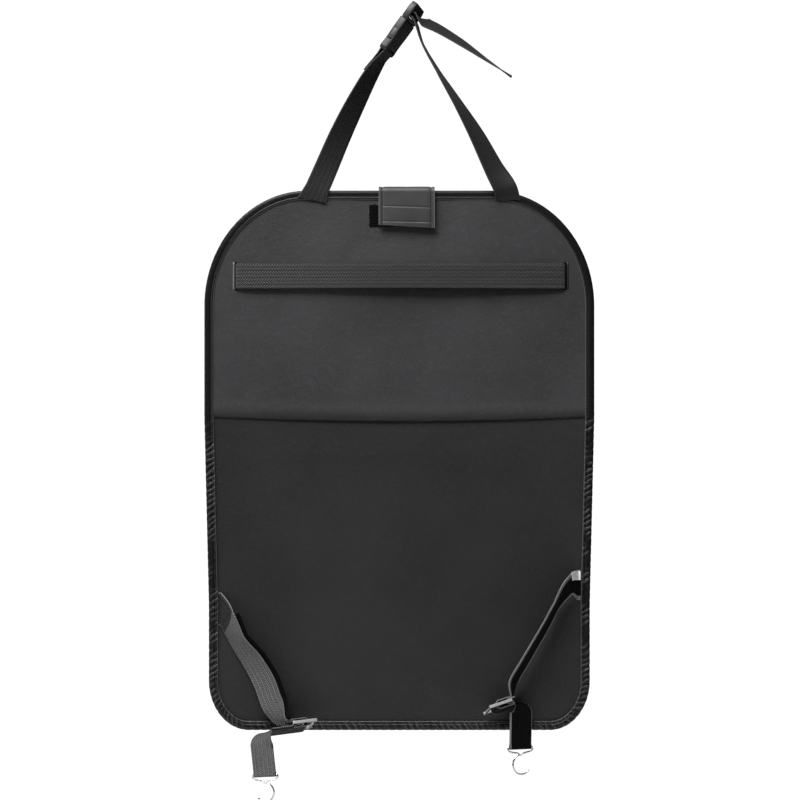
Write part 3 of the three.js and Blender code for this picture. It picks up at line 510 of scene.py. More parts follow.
# %% [markdown]
# The foam board is full of small bubbles. The film of the sleeve's window is thin and clear. Glass that
# bends light would make it look thick, so it is a pale skin that lets most of the light through.


# %% Foam and film
def foam():
    made = Finish("foam_board", Specular_IOR_Level=0.2)
    bubbles = made.cells(1200.0)
    made.set(Base_Color=made.mix(bubbles, grey(0.03), grey(0.07)), Roughness=0.85 + bubbles * 0.1)
    made.bump(bubbles, 0.0005, 1.0)
    return made.material


def film():
    made = Finish("clear_film", Specular_IOR_Level=0.6)
    ripples = made.noise(22.0, 2.0)
    haze = made.noise(90.0, 4.0)
    made.set(Base_Color=made.mix(haze, (0.72, 0.77, 0.80, 1), (0.86, 0.90, 0.92, 1)))
    made.set(Roughness=haze * 0.12 + 0.03, Alpha=haze * 0.12 + 0.16)
    made.bump(ripples, 0.003, 0.7)
    return made.material


FOAM_BOARD = foam()
CLEAR_FILM = film()
print("materials:", len(bpy.data.materials))

# %% [markdown]
# Cloth could be draped by a simulation, but then it would never lie just as in the photograph. Most soft
# pieces here begin as one flat grid, as cloth does, and each point of the grid is then moved to its
# place. The UV map keeps the flat cloth in metres, so a weave has its true size everywhere.


# %% A grid as cloth
def select_only(piece):
    bpy.ops.object.select_all(action="DESELECT")
    piece.select_set(True)
    bpy.context.view_layer.objects.active = piece


def lay_grid(name, columns, rows, place, flat):
    """A grid whose point (i, j) goes to place(i, j) and lies at flat(i, j) on the cloth, in millimetres."""
    bpy.ops.object.select_all(action="DESELECT")
    bpy.ops.mesh.primitive_grid_add(x_subdivisions=columns, y_subdivisions=rows, size=2)
    piece = bpy.context.object
    piece.name = piece.data.name = name
    keys = []
    for vertex in piece.data.vertices:
        i = round((vertex.co.x + 1) / 2 * columns)
        j = round((vertex.co.y + 1) / 2 * rows)
        keys.append((i, j))
        vertex.co = place(i, j) * MM
    chart = piece.data.uv_layers.active.data
    for loop in piece.data.loops:
        across, along = flat(*keys[loop.vertex_index])
        chart[loop.index].uv = (across * MM, along * MM)
    return piece


# %% [markdown]
# A grid has no thickness and may leave open ends. Edit mode welds its doubles, closes its ends and turns
# its faces outwards, and Solidify gives a sheet its thickness, always away from the side that shows.


# %% Weld and thicken
WELD_DISTANCE = 2e-6


def weld(piece):
    """One closed skin from a wrapped grid."""
    select_only(piece)
    bpy.ops.object.mode_set(mode="EDIT")
    bpy.ops.mesh.select_all(action="SELECT")
    bpy.ops.mesh.remove_doubles(threshold=WELD_DISTANCE)
    bpy.ops.mesh.fill_holes(sides=0)
    bpy.ops.mesh.select_all(action="SELECT")
    bpy.ops.mesh.normals_make_consistent(inside=False)
    bpy.ops.object.mode_set(mode="OBJECT")


def thicken(piece, thickness, outwards):
    """Solidify: the wall grows away from the outer face, on the -Y side (-1) or the +Y side (1)."""
    select_only(piece)
    solid = piece.modifiers.new("thickness", "SOLIDIFY")
    solid.thickness = thickness * MM
    solid.offset = -1
    bpy.ops.object.mode_set(mode="EDIT")
    bpy.ops.mesh.select_all(action="SELECT")
    bpy.ops.mesh.normals_make_consistent(inside=False)
    bpy.ops.object.mode_set(mode="OBJECT")
    facing = sum(face.normal.y * face.area for face in piece.data.polygons)
    if facing * outwards < 0:
        bpy.ops.object.mode_set(mode="EDIT")
        bpy.ops.mesh.flip_normals()
        bpy.ops.object.mode_set(mode="OBJECT")
    bpy.ops.object.modifier_apply(modifier=solid.name)


# %% [markdown]
# Every piece ends the same way: smooth shading up to an angle, its material and the body that it moves
# with.


# %% Finish a piece
def finish_piece(piece, material, smooth_below=50, body=ROOT):
    """Smooth shading, the material and the body that the piece moves with."""
    select_only(piece)
    bpy.ops.object.shade_smooth_by_angle(angle=math.radians(smooth_below))
    if material:
        piece.data.materials.clear()
        piece.data.materials.append(material)
    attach(piece, body)
    print(piece.name, len(piece.data.polygons), "faces")
    return piece


def swell(x, y, z, size, seed=0.0):
    """A slow cloud between -1 and 1, the same at every run."""
    return noise.noise(Vector((x / size + seed, y / size, z / size - seed)))


def clamp(value):
    return min(1.0, max(0.0, value))


def bell(value, width):
    """A smooth bump: 1 at 0, and near 0 beyond about twice the width."""
    return math.exp(-(value / width) ** 2)


# %% [markdown]
# The panel's outline is a tall shape with round corners that narrows a little below the hem. It could be
# traced, but the sizes of the solids give its half width at any height exactly, also for a sheet that is
# cut smaller all round.

# %% Panel outline
PANEL_TOP = 283.25
UPPER_HALF = 204.8
LOWER_HALF = 200.0
TAPER_TOP = 46.0
TAPER_BOTTOM = -152.0
TOP_CORNER = (108.0, 121.0)
BOTTOM_CORNER = (42.0, 52.0)
SHEET_INSET = 1.2
SHEET_TOP = PANEL_TOP - SHEET_INSET
SHEET_BOTTOM = -SHEET_TOP


def half_width(z, inset):
    """Half the panel's width at height z, in millimetres."""
    upper, lower = UPPER_HALF - inset, LOWER_HALF - inset
    if z > PANEL_TOP - TOP_CORNER[1]:
        wide, high = TOP_CORNER[0] - inset, TOP_CORNER[1] - inset
        rise = min(1.0, (z - (PANEL_TOP - TOP_CORNER[1])) / high)
        return upper - wide + wide * math.sqrt(1 - rise * rise)
    if z < BOTTOM_CORNER[1] - PANEL_TOP:
        wide, high = BOTTOM_CORNER[0] - inset, BOTTOM_CORNER[1] - inset
        drop = min(1.0, (BOTTOM_CORNER[1] - PANEL_TOP - z) / high)
        return lower - wide + wide * math.sqrt(1 - drop * drop)
    share = clamp((z - TAPER_BOTTOM) / (TAPER_TOP - TAPER_BOTTOM))
    return lower + (upper - lower) * share


print("half width at the top and below:", half_width(100, 0), half_width(-200, 0))

# %% [markdown]
# All three sheets of the panel are cut in the same way: rows of points from one side of the outline to
# the other. A sheet could be cut from a plane with a knife, but rows that follow the outline give a
# clean edge, and a surface function can then lift each point. The rows lie closer together where the
# outline turns in, and the lowest row can follow the sagging hem.


# %% Sheets of the panel
def sheet_heights(low, high, step):
    """Row heights, closer together where the outline turns in at the top and the bottom."""
    heights = [low]
    while heights[-1] < high - 0.01:
        z = heights[-1]
        to_end = min(PANEL_TOP - SHEET_INSET - z, z + PANEL_TOP - SHEET_INSET)
        heights.append(min(high, z + max(0.12, min(step, 0.16 * to_end + 0.1))))
    return heights


def hem_line(x):
    """The upper sheet's free hem sags in the middle."""
    return HEM_HEIGHT - HEM_SAG * (1 - (x / UPPER_HALF) ** 2)


def panel_sheet(name, node, low_line, high, surface, columns, step, thickness, outwards):
    """A sheet of the panel as one grid, cut along low_line and as wide as the outline."""
    heights = sheet_heights(low_line(0), high, step)
    base = heights[0]

    def place(i, j):
        z = heights[j]
        x = (2 * i / columns - 1) * half_width(z, SHEET_INSET)
        fade = 1 - (z - base) / (high - base)
        z += (low_line(x) - base) * fade ** 3
        return Vector((x, surface(x, z), z))

    def flat(i, j):
        return (i / columns * 2 * UPPER_HALF, heights[j])

    piece = lay_grid(name, columns, len(heights) - 1, place, flat)
    thicken(piece, thickness, outwards)
    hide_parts(node)
    return piece


# %% [markdown]
# Leather on a foam board isn't flat. The seam at the edge pulls small folds into it, and where a tab or
# a band is sewn on, it lies tight. Sculpting could do this by hand, but small sums of waves and clouds
# do it the same way at every run, so what lies on the sheet can follow.

# %% Folds and tight places
BAND_Z = 193.3


def pulls(x, z, edge_distance):
    """Small folds that the edge seam pulls into the leather, in millimetres."""
    reach = math.exp(-edge_distance / 7.0)
    ridge = math.sin((z + 0.4 * x) / 5.2 + 2.2 * swell(x, 0, z, 26.0))
    return 0.28 * reach * ridge * (1.0 if z < HEM_HEIGHT else 0.35)


def clear_of_fittings(x, z):
    """0 where the tab with its patches or an end of the band lies on the sheet, otherwise 1."""
    tab = clamp(max(abs(x - 2) - 40, 232 - z) / 25)
    band_ends = clamp(max(155 - abs(x), abs(z - BAND_Z) - 16) / 14)
    return tab * band_ends


print("beside the tab:", clear_of_fittings(0, 250), "in the open:", clear_of_fittings(0, 100))

# %% [markdown]
# The lower back sheet swells a little in the middle, and it is creased at both ends of the hem. Its top
# lies flat under the upper sheet, so that the two can't cut into each other.


# %% Lower back sheet
def lower_surface(x, z):
    share = x / half_width(z, SHEET_INSET)
    puff = 1.3 * (1 - share * share) ** 2 * min(1.0, (z + PANEL_TOP) / 40)
    under_hem = clamp((hem_line(x) - 4 - z) / 30)
    clouds = 0.5 * swell(x, 1, z, 95.0, 3.0) * (1 - share ** 4)
    seam = half_width(z, SHEET_INSET) - abs(x)
    creases = 0.5 * bell(abs(x) - 178, 16) * math.sin(z / 3.4 + x / 9) * bell(z - 30, 14)
    return -(puff * under_hem + (clouds + creases) * under_hem + pulls(x, z, seam) * under_hem)


lower_sheet = panel_sheet(
    "lower_back_sheet", "back_panel_lower", lambda x: SHEET_BOTTOM, 76.0, lower_surface, 110, 3.4, 0.9, -1)
finish_piece(lower_sheet, LOWER_LEATHER)

# %% [markdown]
# The upper back sheet lies over the lower one and ends in the free hem. It rolls a little just above the
# hem, and the step down from it throws the dark line that crosses the photograph. Its leather's painted
# shade and painted shadow line at the hem make that line darker.


# %% Upper back sheet
def upper_surface(x, z):
    share = x / half_width(z, SHEET_INSET)
    puff = 1.0 * (1 - share * share) ** 2 * min(1.0, (PANEL_TOP - z) / 60)
    clouds = 0.5 * swell(x, 4, z, 80.0, 7.0) * (1 - share ** 4)
    roll = 0.5 * bell(z - hem_line(x) - 10.0, 6.0) * (1 - share ** 8)
    seam = min(half_width(z, SHEET_INSET) - abs(x), PANEL_TOP - z)
    raised = (puff + clouds) * clear_of_fittings(x, z) + roll
    return -1.3 - raised - pulls(x, z, seam) * 0.6 * clear_of_fittings(x, z)


upper_sheet = panel_sheet(
    "upper_back_sheet", "back_panel_upper", hem_line, SHEET_TOP, upper_surface, 110, 3.0, 0.9, -1)
finish_piece(upper_sheet, UPPER_LEATHER)

# %% [markdown]
# The sheet on the storage side is cut to the whole outline. The pockets are sewn on it and keep it flat,
# so its surface moves far less than that of the back sheets.


# %% Front sheet
def front_surface(x, z):
    share = x / half_width(z, SHEET_INSET)
    seam = min(half_width(z, SHEET_INSET) - abs(x), PANEL_TOP - abs(z))
    return 5.6 + 0.15 * swell(x, 9, z, 70.0) * (1 - share ** 4) + pulls(x, z, seam) * 0.5


front_sheet = panel_sheet(
    "front_sheet", "front_panel", lambda x: SHEET_BOTTOM, SHEET_TOP, front_surface, 90, 4.4, 0.9, 1)
finish_piece(front_sheet, FRONT_LEATHER)

# %% [markdown]
# A strap, a tape and a wire are all one idea: a section carried along a route. A curve with a bevel can
# do that too, but it twists as it likes. Here each stop on the route is a Frame with a place, a width
# direction and a normal, so a strap turns just where it should.


# %% Frames
class Frame:
    """A stop on a route, in millimetres. Travel is width x normal."""

    def __init__(self, place, width, normal):
        self.place, self.width, self.normal = place, width, normal

    @classmethod
    def along(cls, place, travel, width):
        return cls(place, width.copy(), travel.cross(width).normalized())

    @property
    def travel(self):
        return self.width.cross(self.normal).normalized()

    @property
    def turn(self):
        basis = Matrix((self.width.normalized(), self.normal, self.travel)).transposed()
        return basis.to_quaternion()

    def moved(self, forward, out, sideways=0.0):
        """The same directions, further on, further out and more to the side."""
        place = self.place + self.travel * forward + self.normal * out
        return Frame(place + self.width.normalized() * sideways, self.width.copy(), self.normal.copy())

    def reversed(self):
        """The other face of the strap, which travels back."""
        return Frame(self.place.copy(), self.width.copy(), -self.normal)


# %% [markdown]
# A sweep lays one grid round the whole route: the columns go round the section, and the rows go along.
# The weld then closes the seam and both ends.


# %% Sweeps
def sweep(name, frames, section):
    """Carries section(j), a closed list of (across, out) in millimetres, along the frames."""
    start = section(0)
    columns = len(start)
    widest = min(point[0] for point in start)
    lengths = [0.0]
    for a, b in zip(frames, frames[1:]):
        lengths.append(lengths[-1] + (b.place - a.place).length)

    def place(i, j):
        across, out = section(j)[i % columns]
        return frames[j].place + frames[j].width * across + frames[j].normal * out

    def flat(i, j):
        return (start[i % columns][0] - widest, lengths[j])

    piece = lay_grid(name, columns, len(frames) - 1, place, flat)
    weld(piece)
    print(name, "length", round(lengths[-1]), "mm")
    return piece, lengths[-1]


# %% [markdown]
# The edge tape goes round the whole panel. Its route is the outline itself, cut into even steps, so that
# the gathers come out alike on every side. It starts in the middle of the top and runs over the left
# side, and its width points inwards.


# %% Edge tape route
def outline_frames(step):
    """Frames round the outline, from the top middle over the left side, with width pointing inwards."""
    corners = []
    quarter = 40
    for sign, centre_z, size, half, first in (
        (-1, PANEL_TOP - TOP_CORNER[1], TOP_CORNER, UPPER_HALF, 90),
        (-1, BOTTOM_CORNER[1] - PANEL_TOP, BOTTOM_CORNER, LOWER_HALF, 180),
        (1, BOTTOM_CORNER[1] - PANEL_TOP, BOTTOM_CORNER, LOWER_HALF, 270),
        (1, PANEL_TOP - TOP_CORNER[1], TOP_CORNER, UPPER_HALF, 0),
    ):
        for k in range(quarter + 1):
            angle = math.radians(first + 90 * k / quarter)
            x = sign * (half - size[0]) + size[0] * math.cos(angle)
            corners.append(Vector((x, 0, centre_z + size[1] * math.sin(angle))))
        if first == 90:
            corners += [Vector((-UPPER_HALF, 0, TAPER_TOP)), Vector((-LOWER_HALF, 0, TAPER_BOTTOM))]
        if first == 270:
            corners += [Vector((LOWER_HALF, 0, TAPER_BOTTOM)), Vector((UPPER_HALF, 0, TAPER_TOP))]
    points = [Vector((0, 0, PANEL_TOP))] + corners + [Vector((0, 0, PANEL_TOP))]
    lengths = [0.0]
    for a, b in zip(points, points[1:]):
        lengths.append(lengths[-1] + (b - a).length)
    total = lengths[-1]
    count = round(total / step)
    frames, k = [], 0
    for j in range(count + 1):
        wanted = total * j / count
        while k < len(points) - 2 and lengths[k + 1] < wanted:
            k += 1
        span = max(1e-9, lengths[k + 1] - lengths[k])
        place = points[k].lerp(points[k + 1], (wanted - lengths[k]) / span)
        frames.append(Frame(place, Vector((0, 0, 0)), Vector((0, -1, 0))))
    for j, frame_here in enumerate(frames):
        ahead = frames[min(count, j + 3)].place - frames[max(0, j - 3)].place
        travel = ahead.normalized()
        frame_here.width = Vector((0, -1, 0)).cross(travel).normalized()
    return frames


edge_route = outline_frames(1.6)
spacing = (edge_route[1].place - edge_route[0].place).length
print("edge of", len(edge_route) - 1, "steps of", round(spacing, 3), "mm")

# %% [markdown]
# The tape is folded round all the layers and sewn through. Below the hem its gathers stand up like the
# strands of a rope, and above it they hardly show. The section is a U, and a ridge wave along the edge
# lifts its back leg. Real gathers come from a tight thread. Their slow wander keeps them from looking
# like a screw.


# %% Tape section
def tape_section(reach, outer_low, outer_high, thickness):
    """A closed U in (inwards, outwards): outwards is -Y, so the back leg is at outer_high."""
    low, high, inner = -outer_low, outer_high, thickness
    return [
        (reach, high - inner), (reach + 0.1, high - 0.35), (reach - 0.4, high), (reach * 0.7, high + 0.08),
        (reach * 0.4, high + 0.1), (1.8, high), (0.6, high - 0.7), (0.1, high - 2.0),
        (0.0, (high - low) / 2), (0.1, 2.0 - low), (0.6, 0.7 - low), (1.8, -low),
        (reach * 0.4, -low - 0.1), (reach * 0.7, -low - 0.08),
        (reach - 0.4, -low), (reach + 0.1, 0.35 - low), (reach, inner - low), (1.7, inner - low),
        (inner, inner + 1.0 - low), (inner, high - inner - 1.0), (1.7, high - inner),
    ]


TAPE_REACH = 9.6
TAPE_BACK = 2.5
TAPE_FRONT = 6.8
GATHER_PITCH = 8.4
GATHER_CORNER = (165, -250)


def gathered_section(frame_here, length):
    """The tape's section with the gathers at this place. They are highest at the lower right corner."""
    place = frame_here.place
    below = clamp((HEM_HEIGHT + 6 - place.z) / 12)
    at_corner = bell(math.hypot(place.x - GATHER_CORNER[0], place.z - GATHER_CORNER[1]), 60)
    lift = 0.16 + below * (0.85 + 0.4 * at_corner)
    pinch = 0.9 * bell(place.z - HEM_HEIGHT + 3, 2.5)
    wander = 3.0 * swell(place.x, 0, place.z, 40.0, 5.0)
    points = []
    for across, out in tape_section(TAPE_REACH, -TAPE_FRONT, TAPE_BACK, 0.9):
        phase = (length + across * 0.75) / GATHER_PITCH * 2 * math.pi + wander
        ridge = lift * (abs(math.sin(phase / 2)) ** 0.7 - 0.5)
        if out > TAPE_BACK - 0.8:
            out += (ridge - pinch) * math.sin(math.pi * min(1.0, across / TAPE_REACH))
        if across < 0.7:
            across -= 0.5 * ridge
        points.append((max(0.0, across), out))
    return points


# %% [markdown]
# The tape is cut at the feet of the two top straps, where the straps cover its ends. A short piece lies
# between them along the top, and a long one goes round all the rest.

# %% Edge tape pieces
LEFT_ROOT_X = -91.0
RIGHT_ROOT_X = 114.0
top_left_index = round(abs(LEFT_ROOT_X) / spacing)
right_candidates = [j for j, f in enumerate(edge_route) if f.place.z > 200 and f.place.x > 0]
top_right_index = min(right_candidates, key=lambda j: abs(edge_route[j].place.x - RIGHT_ROOT_X))


def edge_piece(name, node, first, last):
    """One length of edge tape between two places on the outline."""
    span = [edge_route[j % (len(edge_route) - 1)] for j in range(first, last)]
    sections = [gathered_section(f, (first + k) * spacing) for k, f in enumerate(span)]
    piece, length = sweep(name, span, lambda j: sections[j])
    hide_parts(node)
    finish_piece(piece, EDGE_TAPE)
    length * MM
    return piece


edge_tape = edge_piece("edge_tape", "edge_binding", top_left_index, top_right_index)
top_tape = edge_piece(
    "top_tape", "top_binding", top_right_index, len(edge_route) - 1 + top_left_index)

# %% [markdown]
# Webbing leaves the seams, twists in the air and wraps round bars. Each strap follows a smooth curve
# through a few stops, and each stop says which way the webbing's width points there. A curve with
# handles would need each handle set by hand. This one passes exactly through its stops, and it doesn't
# overshoot where two of them lie close together.


# %% A smooth curve through stops
def curve_point(points, along):
    """A point on the smooth curve through all the points, where along goes from 0 to 1."""
    last = len(points) - 1
    span = min(int(along * last), last - 1)
    share = along * last - span
    b, c = points[span], points[span + 1]
    a = points[span - 1] if span > 0 else 2 * b - c
    d = points[span + 2] if span + 2 <= last else 2 * c - b
    ab, bc, cd = ((q - p).length ** 0.5 for p, q in ((a, b), (b, c), (c, d)))
    leaving = ((b - a) / ab - (c - a) / (ab + bc) + (c - b) / bc) * bc
    arriving = ((c - b) / bc - (d - b) / (bc + cd) + (d - c) / cd) * bc
    cubic = 2 * b - 2 * c + leaving + arriving
    square = 3 * c - 3 * b - 2 * leaving - arriving
    return b + (leaving + (square + cubic * share) * share) * share


def curve_travel(points, along):
    """The direction of the curve at a share of its way."""
    ahead = curve_point(points, min(1, along + 1e-4))
    return (ahead - curve_point(points, max(0, along - 1e-4))).normalized()


def square_to(width, travel):
    """The width direction turned square to the travel, at the same length."""
    return (width - travel * width.dot(travel)).normalized() * width.length


def turned_width(travel, degrees):
    """The width of a strap that lies across the view, turned about its own length."""
    angle = math.radians(degrees)
    level = Vector((travel.z, 0, -travel.x)).normalized()
    return level * math.cos(angle) + Vector((0, math.sin(angle), 0))


# %% [markdown]
# Between two stops the width turns evenly. A strap is sewn down askew where it isn't square to its seam,
# so a stop may keep an oblique width.


# %% Frames on a curve
def curve_frames(stops, steps):
    """Frames through stops of (place, width), or (place, width, True) where the width is left oblique."""
    points = [stop[0] for stop in stops]
    spans = len(stops) - 1
    widths = []
    for k, stop in enumerate(stops):
        oblique = len(stop) > 2
        widths.append(stop[1] if oblique else square_to(stop[1], curve_travel(points, k / spans)))
    frames = []
    for j in range(spans * steps + 1):
        along = j / (spans * steps)
        span = min(j // steps, spans - 1)
        share = along * spans - span
        length = widths[span].length * (1 - share) + widths[span + 1].length * share
        width = widths[span].lerp(widths[span + 1], share).normalized() * length
        travel = curve_travel(points, along)
        if len(stops[span]) < 3:
            width = square_to(width, travel)
        frames.append(Frame.along(curve_point(points, along), travel, width))
    return frames


# %% [markdown]
# Two more ways of travelling: a strap that turns in the air from one direction to another, and a strap
# that goes half round a bar.


# %% Frames that turn
def turning_frames(start, end_turn, length, steps):
    """Frames that turn evenly from one frame to another direction over a length."""
    place = start.place.copy()
    frames = []
    for j in range(1, steps + 1):
        middle = start.turn.slerp(end_turn, (j - 0.5) / steps)
        place = place + middle @ Vector((0, 0, 1)) * (length / steps)
        turn = start.turn.slerp(end_turn, j / steps)
        frames.append(Frame(place, turn @ Vector((1, 0, 0)), turn @ Vector((0, 1, 0))))
    return frames


def bar_frames(start, radius, inward, steps=16):
    """A half turn round a bar. The normal points away from the bar, or at it if inward."""
    side = -1 if inward else 1
    centre = start.place - start.normal * side * radius
    axis = start.width.normalized()
    frames = []
    for j in range(steps + 1):
        normal = Quaternion(axis, side * math.pi * j / steps) @ start.normal
        frames.append(Frame(centre + normal * side * radius, start.width.copy(), normal))
    return frames


# %% [markdown]
# The section of webbing is a flat bar with round edges. Its two edge cords are a little thicker than
# the middle, which a flat ribbon would lose, and the weave itself is left to the material.


# %% Webbing section
WEB_THICK = 1.4
LOOP_GAP = 0.3
WIRE_RADIUS = 0.95
HOOK_BELOW = 3.5
STRAP_STEPS = 14


def web_section(width, parts=8):
    """The closed section of webbing, in (across, out)."""
    half, face = width / 2, WEB_THICK / 2
    inner = half - 0.5
    top = []
    for k in range(parts + 1):
        hollow = 0.12 if 0 < k < parts else 0
        top.append((-inner + 2 * inner * k / parts, face - hollow))
    edge = [(half - 0.12, face * 0.72), (half, 0), (half - 0.12, -face * 0.72)]
    below = [(across, -out) for across, out in reversed(top)]
    far_edge = [(-across, -out) for across, out in edge]
    return top + edge + below + far_edge


def web_piece(name, node, frames, width, material):
    """A length of webbing along its frames."""
    section = web_section(width)
    piece, length = sweep(name, frames, lambda j: section)
    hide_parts(node)
    finish_piece(piece, material)
    length * MM
    return piece


# %% [markdown]
# The band across the upper back comes out of one slit, lies a little proud of the leather and goes
# back in at the other slit. It is slack, so it leans forward at its lower edge and stands off most near
# the middle. That is what throws the shadow below it, so the slack is in the route and not painted.

# %% Back band
BAND_LEFT = -171.3
BAND_RIGHT = 173.3
BAND_REST = -2.3
BAND_LIFT = 3.4
BAND_SLACK = 3.2
BAND_LEAN = math.radians(14)
RIM_FACE = -2.2
band_span = BAND_RIGHT - BAND_LEFT
BAND_STOPS = [
    (BAND_LEFT, 1.0), (BAND_LEFT, RIM_FACE), (BAND_LEFT + 2.6, BAND_REST - 1.4),
    (BAND_LEFT + band_span * 0.25, BAND_REST - BAND_LIFT * 0.3),
    (BAND_LEFT + band_span * 0.55, BAND_REST - BAND_LIFT),
    (BAND_LEFT + band_span * 0.8, BAND_REST - BAND_LIFT * 0.9),
    (BAND_RIGHT - 2.6, BAND_REST - 1.4), (BAND_RIGHT, RIM_FACE), (BAND_RIGHT, 1.0),
]
band_stops = []
for x, y in BAND_STOPS:
    slack = max(0.0, 1 - ((x - BAND_LEFT) / band_span * 2 - 1) ** 2)
    tilt = BAND_LEAN * slack
    place = Vector((x, y - BAND_SLACK * slack, BAND_Z))
    band_stops.append((place, Vector((0, math.sin(tilt), math.cos(tilt)))))
band_route = curve_frames(band_stops, STRAP_STEPS)
back_band = web_piece(
    "back_webbing", "back_band", band_route, 26.4, BAND_WEB)


# %% [markdown]
# The leather is turned back at each slit, so a raised lip stands beside it. The left lip catches the
# light and the right one lies in shade, and each has its own tone for that: a pale painted highlight on
# the left and a dark painted shade on the right. Inside, a slit is dark. A real hole would show the
# foam, so a thin near-black patch closes it just above the leather, a painted shadow.

# %% Slit finishes, painted light and shade
LIP_HIGHLIGHT = leather("lip_painted_highlight", 0.13, 0.4)
LIP_SHADE = leather("lip_painted_shade", 0.006, 0.5)
# Painted shadow: the near-black inside of each slit.
SLIT_SHADOW = leather("slit_painted_shadow", 0.0012, 0.8, shine=0.05)
print("slit finishes:", LIP_HIGHLIGHT.name, LIP_SHADE.name, SLIT_SHADOW.name)

# %% Slit lips
LIP_STEPS = 40
LIP_HALF_HEIGHT = 14.2


def slit_lip(name, x, side, material):
    """The lip of leather beside a band slit: a half round bar with tapered ends."""
    frames = []
    for j in range(LIP_STEPS + 1):
        z = BAND_Z - LIP_HALF_HEIGHT + 2 * LIP_HALF_HEIGHT * j / LIP_STEPS
        frames.append(Frame(Vector((x + side * 2.5, -1.25, z)), Vector((1, 0, 0)), Vector((0, -1, 0))))

    def section(j):
        end = min(1.0, min(j, LIP_STEPS - j) / 4)
        high = 0.95 * math.sqrt(max(0.05, 1 - (1 - end) ** 2))
        ring = [math.pi * k / 8 for k in range(9)]
        return [(1.0 * math.cos(a), high * math.sin(a)) for a in ring] + [(-1.0, -0.3), (1.0, -0.3)]

    piece, _ = sweep(name, frames, section)
    return finish_piece(piece, material)


# Painted highlight on the left lip, painted shade on the right one.
slit_lip("left_slit_lip", BAND_LEFT, -1, LIP_HIGHLIGHT)
slit_lip("right_slit_lip", BAND_RIGHT, 1.35, LIP_SHADE)

# %% Slit shadows
SLIT_SHADOW_COLUMNS, SLIT_SHADOW_ROWS, SLIT_SHADOW_STEP = 4, 24, 1.2
SLIT_SHADOW_HALF_HEIGHT = 14.4
SLIT_SHADOW_CORNER = 0.48


def paint_slit_shadow(name, x0, x1):
    """A painted shadow for the inside of a slit: a near-black patch just proud of the leather, with its
    corners cut.
    """
    def place(i, j):
        x = x0 + (x1 - x0) * i / SLIT_SHADOW_COLUMNS
        if j in (0, SLIT_SHADOW_ROWS):
            x += {0: SLIT_SHADOW_CORNER, SLIT_SHADOW_COLUMNS: -SLIT_SHADOW_CORNER}.get(i, 0.0)
        y = -2.15 - 0.2 * math.sin(math.pi * i / SLIT_SHADOW_COLUMNS)
        return Vector((x, y, BAND_Z - SLIT_SHADOW_HALF_HEIGHT + SLIT_SHADOW_STEP * j))

    piece = lay_grid(name, SLIT_SHADOW_COLUMNS, SLIT_SHADOW_ROWS, place, lambda i, j: (i, j))
    thicken(piece, 0.6, -1)
    return finish_piece(piece, SLIT_SHADOW)


# Painted shadows that close both slits.
paint_slit_shadow("left_slit_shadow", BAND_LEFT - 1.6, BAND_LEFT + 1.6)
paint_slit_shadow("right_slit_shadow", BAND_RIGHT - 1.6, BAND_RIGHT + 2.6)

# %% [markdown]
# The two top straps are sewn flat on the top edge, twist on their way up and meet at the buckle. The
# buckle lies askew, and both straps have to turn with it, so its place and its three directions come
# first, and the straps then end on its bars.

# %% Buckle place
BUCKLE_START = Vector((-14.6, 0, PANEL_TOP + 144.95))
lean = math.radians(35.8)
BUCKLE_AXIS = Vector((math.sin(lean), 0, math.cos(lean)))
BUCKLE_ACROSS = turned_width(BUCKLE_AXIS, 72)
BUCKLE_FACE = BUCKLE_ACROSS.cross(BUCKLE_AXIS).normalized()
ROOT_Y = -3.5
BAR_LOOP = 2.5
LADDER_AT = 48


def buckle_place(along, out):
    """A place in the buckle, measured along it and out of its face."""
    return BUCKLE_START + BUCKLE_AXIS * along + BUCKLE_FACE * out


def root_stop(x, width_x, width_z):
    """A strap's sewn end, 10 mm below the panel's top."""
    return (Vector((x, ROOT_Y, PANEL_TOP - 10)), Vector((width_x, 0, width_z)), True)


def strap_stop(foot, end, share, bow, lift, degrees):
    """A place on the way from a strap's foot to the buckle, with its small bends."""
    travel = (end - foot) * Vector((1, 0, 1))
    place = foot.lerp(end, share) + Vector((bow, lift, 0))
    return (place, turned_width(travel.normalized(), degrees))


print("buckle leans", round(math.degrees(lean), 1), "degrees")

# %% [markdown]
# The left top strap is sewn round the bar of the socket: up to the bar, half round it, and 25 mm back
# down behind itself. Its stops are (share of the way, to the side, outwards, degrees of turn), read from
# the strap's two edges in the photograph.

# %% Left top strap
left_foot = Vector((-91, ROOT_Y, PANEL_TOP))
loop_top = buckle_place(2, BAR_LOOP)
LEFT_STOPS = ((0.01, 4, -1.4, 4), (0.159, 2, -0.4, 14), (0.396, -1.4, 0, 26),
              (0.634, -3, 0, 40), (0.85, -2.6, 0, 56))
left_way = curve_frames(
    [root_stop(-92, 1.14, -0.22)]
    + [strap_stop(left_foot, BUCKLE_START, *numbers) for numbers in LEFT_STOPS]
    + [(buckle_place(-7, 1.2), BUCKLE_ACROSS), (loop_top, BUCKLE_ACROSS)], STRAP_STEPS)
BACK_FROM, BACK_TO = 7, 32
left_back = []
for stop in reversed(left_way):
    distance = (stop.place - loop_top).length
    if BACK_FROM < distance < BACK_TO:
        spread = max(0.0, 1 - (distance - BACK_FROM) / 10)
        left_back.append(stop.moved(0, WEB_THICK + 0.4 + 1.6 * spread).reversed())
left_route = left_way + bar_frames(left_way[-1], BAR_LOOP, True)[1:] + left_back
web_piece("left_top_webbing", "top_strap_left", left_route, 25.4, LEFT_TOP_WEB)

# %% [markdown]
# The right top strap turns almost on edge on its way to the plug. It goes round the ladder bar, which
# holds it by friction, so the length can be set.

